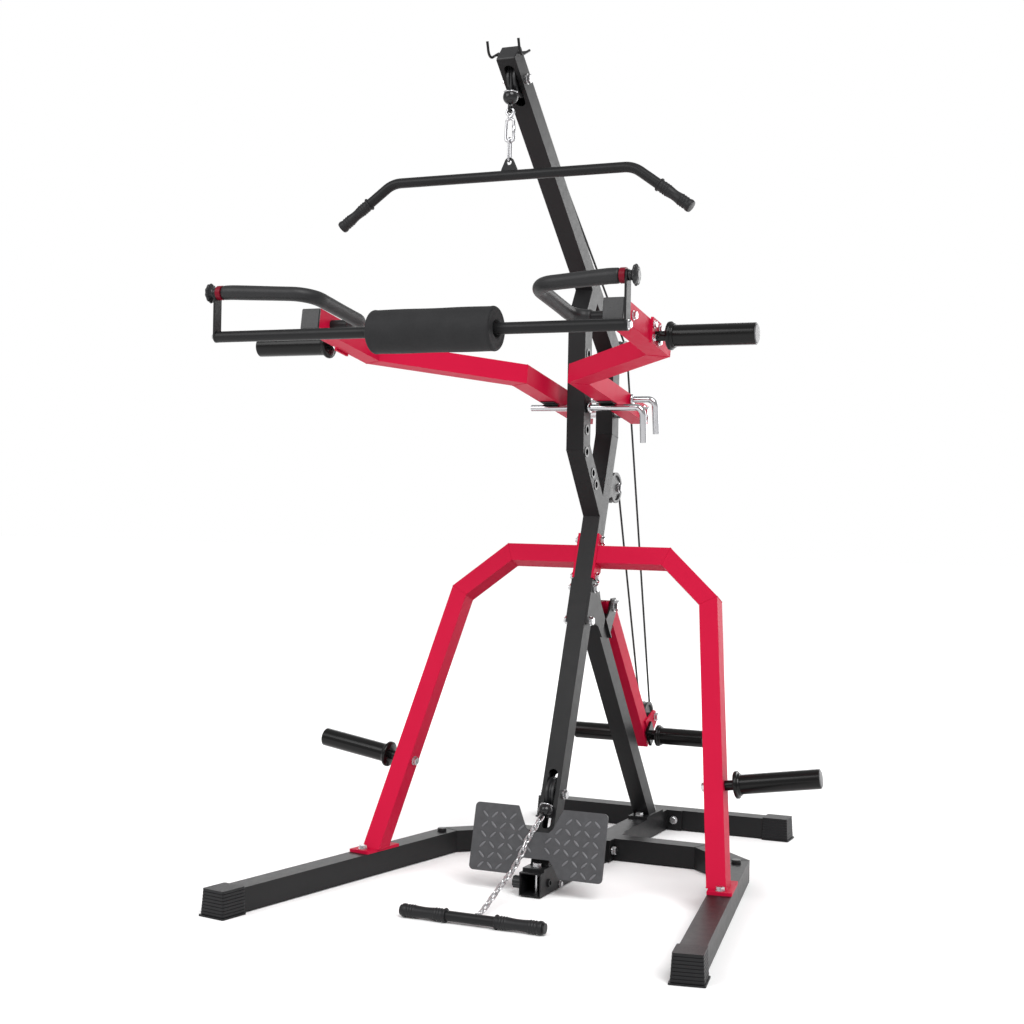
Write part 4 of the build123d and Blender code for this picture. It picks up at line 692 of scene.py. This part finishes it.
class GYM_OT_turn_knobs(bpy.types.Operator):
    """Turn the scalloped knobs that hold the roller's links"""

    bl_idname = "gym.turn_knobs"
    bl_label = "Turn the knobs"

    def execute(self, context):
        low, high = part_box("grip_knob_right")
        centre = ((low.y + high.y) / 2, (low.z + high.z) / 2)
        profile = [(0.0, 0.0082), (0.0, 0.0105), (0.0008, 0.0110), (0.0038, 0.0110), (0.0050, 0.0100),
                   (0.0080, 0.0120), (0.0110, 0.0185), (0.0128, 0.0220), (0.0142, 0.0228), (0.0158, 0.0228),
                   (0.0176, 0.0214), (0.0188, 0.0190), (0.0202, 0.0145), (0.0208, 0.0125), (0.0209, 0.0112),
                   (0.0216, 0.0100), (0.0218, 0.0060), (0.0218, 0.0005)]
        knob = lathe((low.x, *centre), (1, 0, 0), profile, 120, lobes=10, depth=0.0016, lobe_from=0.0184)
        for body, turn in (("right_knob", lambda shape: shape), ("left_knob", flipped)):
            side = body.split("_")[0]
            made_knob = piece(f"scalloped_knob_{side}", turn(knob), "black_plastic", body)
            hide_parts(f"grip_knob_{side}")
        return {"FINISHED"}


class GYM_OT_fit_small_parts(bpy.types.Operator):
    """Fit the chrome rings, the pins' collars and the bolts of the roller's links"""

    bl_idname = "gym.fit_small_parts"
    bl_label = "Fit the small parts"

    def execute(self, context):
        ring = [(-0.0016, 0.0150), (-0.0014, 0.0172), (0.0, 0.0177), (0.0014, 0.0172), (0.0016, 0.0150)]
        lat = lathe((0, LAT_Y, LAT_BALL_Z + 0.012), (0, 0, 1), ring, 40)
        piece("lat_ball_ring", lat, "chrome", "lat")
        toward = unit([0, LOW_PULLEY[0] - ROW_BALL[0] - 0.030, LOW_PULLEY[1] - ROW_BALL[1] + 0.014])
        row = lathe(np.array([0, *ROW_BALL]) + toward * 0.012, toward, ring, 40)
        piece("row_ball_ring", row, "chrome", "row")
        sleeve = [(0.0, 0.0093), (0.0, 0.0135), (0.0010, 0.0148), (0.0065, 0.0148), (0.0080, 0.0130),
                  (0.0080, 0.0093)]
        piece("rest_pin_collar", lathe((0.0275, 0.280, 1.274), (1, 0, 0), sleeve, 40), "chrome", "frame")
        at = arm_space((0.1122, -0.118), 0.008)
        piece("link_pin_collar", lathe(at, (1, 0, 0), sleeve, 40), "chrome", "right_arm")
        low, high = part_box("roller_bar")
        bottom = (high.x, (low.y + high.y) / 2, low.z + 0.013)
        washer_line = [(0.0, 0.0005), (0.0, 0.0096), (0.0014, 0.0100), (0.0016, 0.0088)]
        washer = lathe(bottom, (1, 0, 0), washer_line, 32)
        head = lathe(np.array(bottom) + (0.0014, 0, 0), (1, 0, 0),
                     [(0.0, 0.0086), (0.0046, 0.0086), (0.0058, 0.0074), (0.0058, 0.0005)], 6)
        bolt = joined([washer, head])
        piece("link_bolts", joined([bolt, flipped(bolt)]), "zinc", "roller", smooth=False)
        return {"FINISHED"}


# ---------------------------------------------------------------- cable
def cable_run(start, start_turn, end, end_turn):
    """Both ends of the straight run between two pulleys; a turn is +1 anticlockwise seen from the right."""
    offset = complex(end[0] - start[0], end[1] - start[1])
    sideways = WRAP_R * (end_turn - start_turn)
    run = math.sqrt(abs(offset) ** 2 - sideways ** 2)
    heading = offset / complex(run, sideways)
    leaves = complex(*start) - start_turn * WRAP_R * heading * 1j
    arrives = complex(*end) - end_turn * WRAP_R * heading * 1j
    return np.array([leaves.real, leaves.imag]), np.array([arrives.real, arrives.imag])


def wrap(centre, first, last, turn, extra=0.0):
    """Points round a pulley from where the cable arrives to where it leaves."""
    a = math.atan2(first[1] - centre[1], first[0] - centre[0])
    b = math.atan2(last[1] - centre[1], last[0] - centre[0])
    sweep = (b - a) % (2 * math.pi) if turn > 0 else -((a - b) % (2 * math.pi))
    angle = np.linspace(a, a + sweep + turn * extra, 48)
    return np.stack([centre[0] + WRAP_R * np.cos(angle), centre[1] + WRAP_R * np.sin(angle)], 1)


def in_side_view(points):
    points = np.asarray(points, float)
    return np.concatenate([np.zeros((len(points), 1)), points], 1)


def straight(a, b, count=12):
    return np.asarray(a) + (np.asarray(b) - np.asarray(a)) * np.linspace(0, 1, count)[:, None]


def turned(point, pivot, angle):
    offset = complex(point[0] - pivot[0], point[1] - pivot[1]) * complex(math.cos(angle), math.sin(angle))
    return np.array([pivot[0] + offset.real, pivot[1] + offset.imag])


class GYM_OT_run_cable(bpy.types.Operator):
    """Run the cable from the lat ball over the pulleys to the row ball"""

    bl_idname = "gym.run_cable"
    bl_label = "Run the cable"

    def execute(self, context):
        def strand(name, points, body="frame"):
            return piece(name, tube(in_side_view(points), (1, 0, 0), CABLE_R, 12), "cable_coat", body)

        top_a, guide_a = cable_run(TOP_PULLEY, -1, GUIDE_PULLEY, -1)
        guide_b, lever_a = cable_run(GUIDE_PULLEY, -1, LEVER_PULLEY, -1)
        lever_b, back_a = cable_run(LEVER_PULLEY, -1, BACK_PULLEY, 1)
        back_b, low_a = cable_run(BACK_PULLEY, 1, LOW_PULLEY, -1)
        to_ball = complex(ROW_BALL[0] - LOW_PULLEY[0], ROW_BALL[1] - LOW_PULLEY[1])
        run = math.sqrt(abs(to_ball) ** 2 - WRAP_R ** 2)
        heading = to_ball / complex(run, WRAP_R)
        leaves = complex(*LOW_PULLEY) + WRAP_R * heading * 1j
        low_b = np.array([leaves.real, leaves.imag])
        hang = np.array([LAT_Y, TOP_PULLEY[1]])

        fixed = np.concatenate([wrap(TOP_PULLEY, hang, top_a, -1), straight(top_a, guide_a, 40)[1:-1],
                                wrap(GUIDE_PULLEY, guide_a, guide_b, -1)])
        upper = strand("cable_over_tower", fixed)
        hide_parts("cable")
        lower = np.concatenate([wrap(BACK_PULLEY, back_a, back_b, 1), straight(back_b, low_a, 40)[1:-1],
                                wrap(LOW_PULLEY, low_a, low_b, -1)])
        strand("cable_behind_mast", lower)
        strand("cable_under_lever", wrap(LEVER_PULLEY, lever_a, lever_b, -1, 0.16), "lever")

        ball_top = (LAT_Y, LAT_BALL_Z + LAT_BALL_R - 0.001)
        drop = strand("cable_to_lat_ball", straight(hang, ball_top, 30), None)
        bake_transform(drop)
        row_end = low_b + (np.array(ROW_BALL) - low_b) * 0.55
        lead = strand("cable_to_row_ball", straight(low_b, row_end, 30), None)
        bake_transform(lead)

        raised = turned(LEVER_PULLEY, LEVER_PIVOT, LEVER_LIFT)
        lifted_guide = cable_run(GUIDE_PULLEY, -1, raised, -1)[1]
        lifted_back = cable_run(raised, -1, BACK_PULLEY, 1)[0]
        for name, fixed_end, moving_end, target in (("cable_guide_to_lever", guide_b, lever_a, lifted_guide),
                                                    ("cable_lever_to_back", back_a, lever_b, lifted_back)):
            strand_made = strand(name, straight(fixed_end, moving_end, 30))
            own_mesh(strand_made)
        return {"FINISHED"}


# ---------------------------------------------------------------- stage
FLOOR_REACH = 30.0
FLOOR_DROP = -0.0005
SUN_TOWARD = (0.75, -0.80, 1.15)
SUN_SPREAD = math.radians(35)
LAMP_AIM = np.array([0.0, 0.0, 1.0])
LAMPS = (  # setting, width and height, place
    ("side", (3.0, 3.4), (2.7, 6.0, 2.0)),
    ("back", (5.0, 2.4), (-2.6, 6.0, 2.8)),
    ("front", (2.8, 2.4), (-1.9, -3.7, 3.6)),
)
CAMERA_PLACE = (1.6146, -3.8005, 0.9965)
CAMERA_TURN = (23.895, -0.12, 1.078)  # degrees: yaw to the left, pitch up, roll
SENSOR_WIDTH = 36.0


class GYM_OT_set_stage(bpy.types.Operator):
    """Set the floor, the light and the camera"""

    bl_idname = "gym.set_stage"
    bl_label = "Set the stage"

    def execute(self, context):
        scene = context.scene
        settings = scene.gym_stage
        scene.view_settings.view_transform = "Standard"
        mesh = bpy.data.meshes.new("floor")
        signs = ((-1, -1), (1, -1), (1, 1), (-1, 1))
        corners = [(x * FLOOR_REACH, y * FLOOR_REACH, FLOOR_DROP) for x, y in signs]
        mesh.from_pydata(corners, [], [(0, 1, 2, 3)])
        floor = bpy.data.objects.new("floor", mesh)
        scene.collection.objects.link(floor)
        paper = bpy.data.materials.new("paper_floor")
        paper.use_nodes = True
        nodes, links = paper.node_tree.nodes, paper.node_tree.links
        nodes.clear()
        output = nodes.new("ShaderNodeOutputMaterial")
        cloth = nodes.new("ShaderNodeBsdfDiffuse")
        cloth.inputs["Color"].default_value = (0.95, 0.95, 0.95, 1)
        links.new(cloth.outputs["BSDF"], output.inputs["Surface"])
        mesh.materials.append(paper)

        world = bpy.data.worlds.new("plain_studio")
        scene.world = world
        world.use_nodes = True
        nodes, links = world.node_tree.nodes, world.node_tree.links
        nodes.clear()
        output = nodes.new("ShaderNodeOutputWorld")
        seen = nodes.new("ShaderNodeBackground")
        seen.inputs["Color"].default_value = (1, 1, 1, 1)
        seen.inputs["Strength"].default_value = 1.0
        light = nodes.new("ShaderNodeBackground")
        light.inputs["Color"].default_value = (1, 1, 1, 1)
        light.inputs["Strength"].default_value = settings.sky
        path = nodes.new("ShaderNodeLightPath")
        either = nodes.new("ShaderNodeMath")
        either.operation = "MAXIMUM"
        links.new(path.outputs["Is Camera Ray"], either.inputs[0])
        links.new(path.outputs["Is Transmission Ray"], either.inputs[1])
        mix = nodes.new("ShaderNodeMixShader")
        links.new(either.outputs[0], mix.inputs["Fac"])
        links.new(light.outputs[0], mix.inputs[1])
        links.new(seen.outputs[0], mix.inputs[2])
        links.new(mix.outputs[0], output.inputs["Surface"])

        def aimed(name, data, toward, spot=(0.0, 0.0, 0.0)):
            """A lamp whose own Z looks back along a direction from the gym."""
            toward = unit(toward)
            side = unit(np.cross([0, 0, 1.0], toward))
            above = np.cross(toward, side)
            lamp = bpy.data.objects.new(name, data)
            columns = np.column_stack([side, above, toward, spot])
            lamp.matrix_world = Matrix((*columns.tolist(), (0, 0, 0, 1)))
            scene.collection.objects.link(lamp)
            return lamp

        sun = bpy.data.lights.new("soft_lamp", "SUN")
        sun.energy = settings.sun
        sun.angle = SUN_SPREAD
        aimed("soft_lamp", sun, SUN_TOWARD)
        for name, size, spot in LAMPS:
            broad = bpy.data.lights.new(f"{name}_lamp", "AREA")
            broad.shape = "RECTANGLE"
            broad.size, broad.size_y = size
            broad.energy = getattr(settings, name)
            aimed(f"{name}_lamp", broad, spot - LAMP_AIM, spot).visible_camera = False

        yaw, pitch, roll = (math.radians(angle) for angle in CAMERA_TURN)
        ahead = np.array([-math.sin(yaw) * math.cos(pitch), math.cos(yaw) * math.cos(pitch), math.sin(pitch)])
        level = np.array([math.cos(yaw), math.sin(yaw), 0.0])
        upright = np.cross(level, ahead)
        right = level * math.cos(roll) + upright * math.sin(roll)
        top = upright * math.cos(roll) - level * math.sin(roll)
        camera = bpy.data.cameras.new("camera")
        camera.lens = settings.lens
        camera.sensor_width = SENSOR_WIDTH
        camera.clip_end = 200.0
        camera_object = bpy.data.objects.new("camera", camera)
        scene.collection.objects.link(camera_object)
        columns = np.column_stack([right, top, -ahead, CAMERA_PLACE])
        camera_object.matrix_world = Matrix((*columns.tolist(), (0, 0, 0, 1)))
        scene.camera = camera_object
        return {"FINISHED"}


class GYM_PT_home_gym(bpy.types.Panel):
    """Builds the gym's finishes and fittings one by one"""

    bl_idname = "GYM_PT_home_gym"
    bl_label = "Home Gym"
    bl_space_type = "VIEW_3D"
    bl_region_type = "UI"
    bl_category = "Home Gym"

    def draw(self, context):
        layout = self.layout
        for group in (context.scene.gym_finish, context.scene.gym_detail, context.scene.gym_stage):
            box = layout.box()
            for name in group.bl_rna.properties.keys():
                if name not in ("rna_type", "name"):
                    box.prop(group, name)
        for operator in OPERATORS:
            layout.operator(operator.bl_idname)


OPERATORS = (
    GYM_OT_paint_frame,
    GYM_OT_lay_welds,
    GYM_OT_raise_tread,
    GYM_OT_fit_grips,
    GYM_OT_slide_on_foam,
    GYM_OT_cap_horns,
    GYM_OT_hang_links,
    GYM_OT_turn_knobs,
    GYM_OT_fit_small_parts,
    GYM_OT_run_cable,
    GYM_OT_set_stage,
)
CLASSES = (GymFinishSettings, GymDetailSettings, GymStageSettings, *OPERATORS, GYM_PT_home_gym)


def register():
    for cls in CLASSES:
        bpy.utils.register_class(cls)
    bpy.types.Scene.gym_finish = PointerProperty(type=GymFinishSettings)
    bpy.types.Scene.gym_detail = PointerProperty(type=GymDetailSettings)
    bpy.types.Scene.gym_stage = PointerProperty(type=GymStageSettings)


def unregister():
    del bpy.types.Scene.gym_stage
    del bpy.types.Scene.gym_detail
    del bpy.types.Scene.gym_finish
    for cls in reversed(CLASSES):
        bpy.utils.unregister_class(cls)


def main():
    register()
    for operator in OPERATORS:
        group, name = operator.bl_idname.split(".")
        getattr(getattr(bpy.ops, group), name)()


if __name__ == "__main__":
    main()
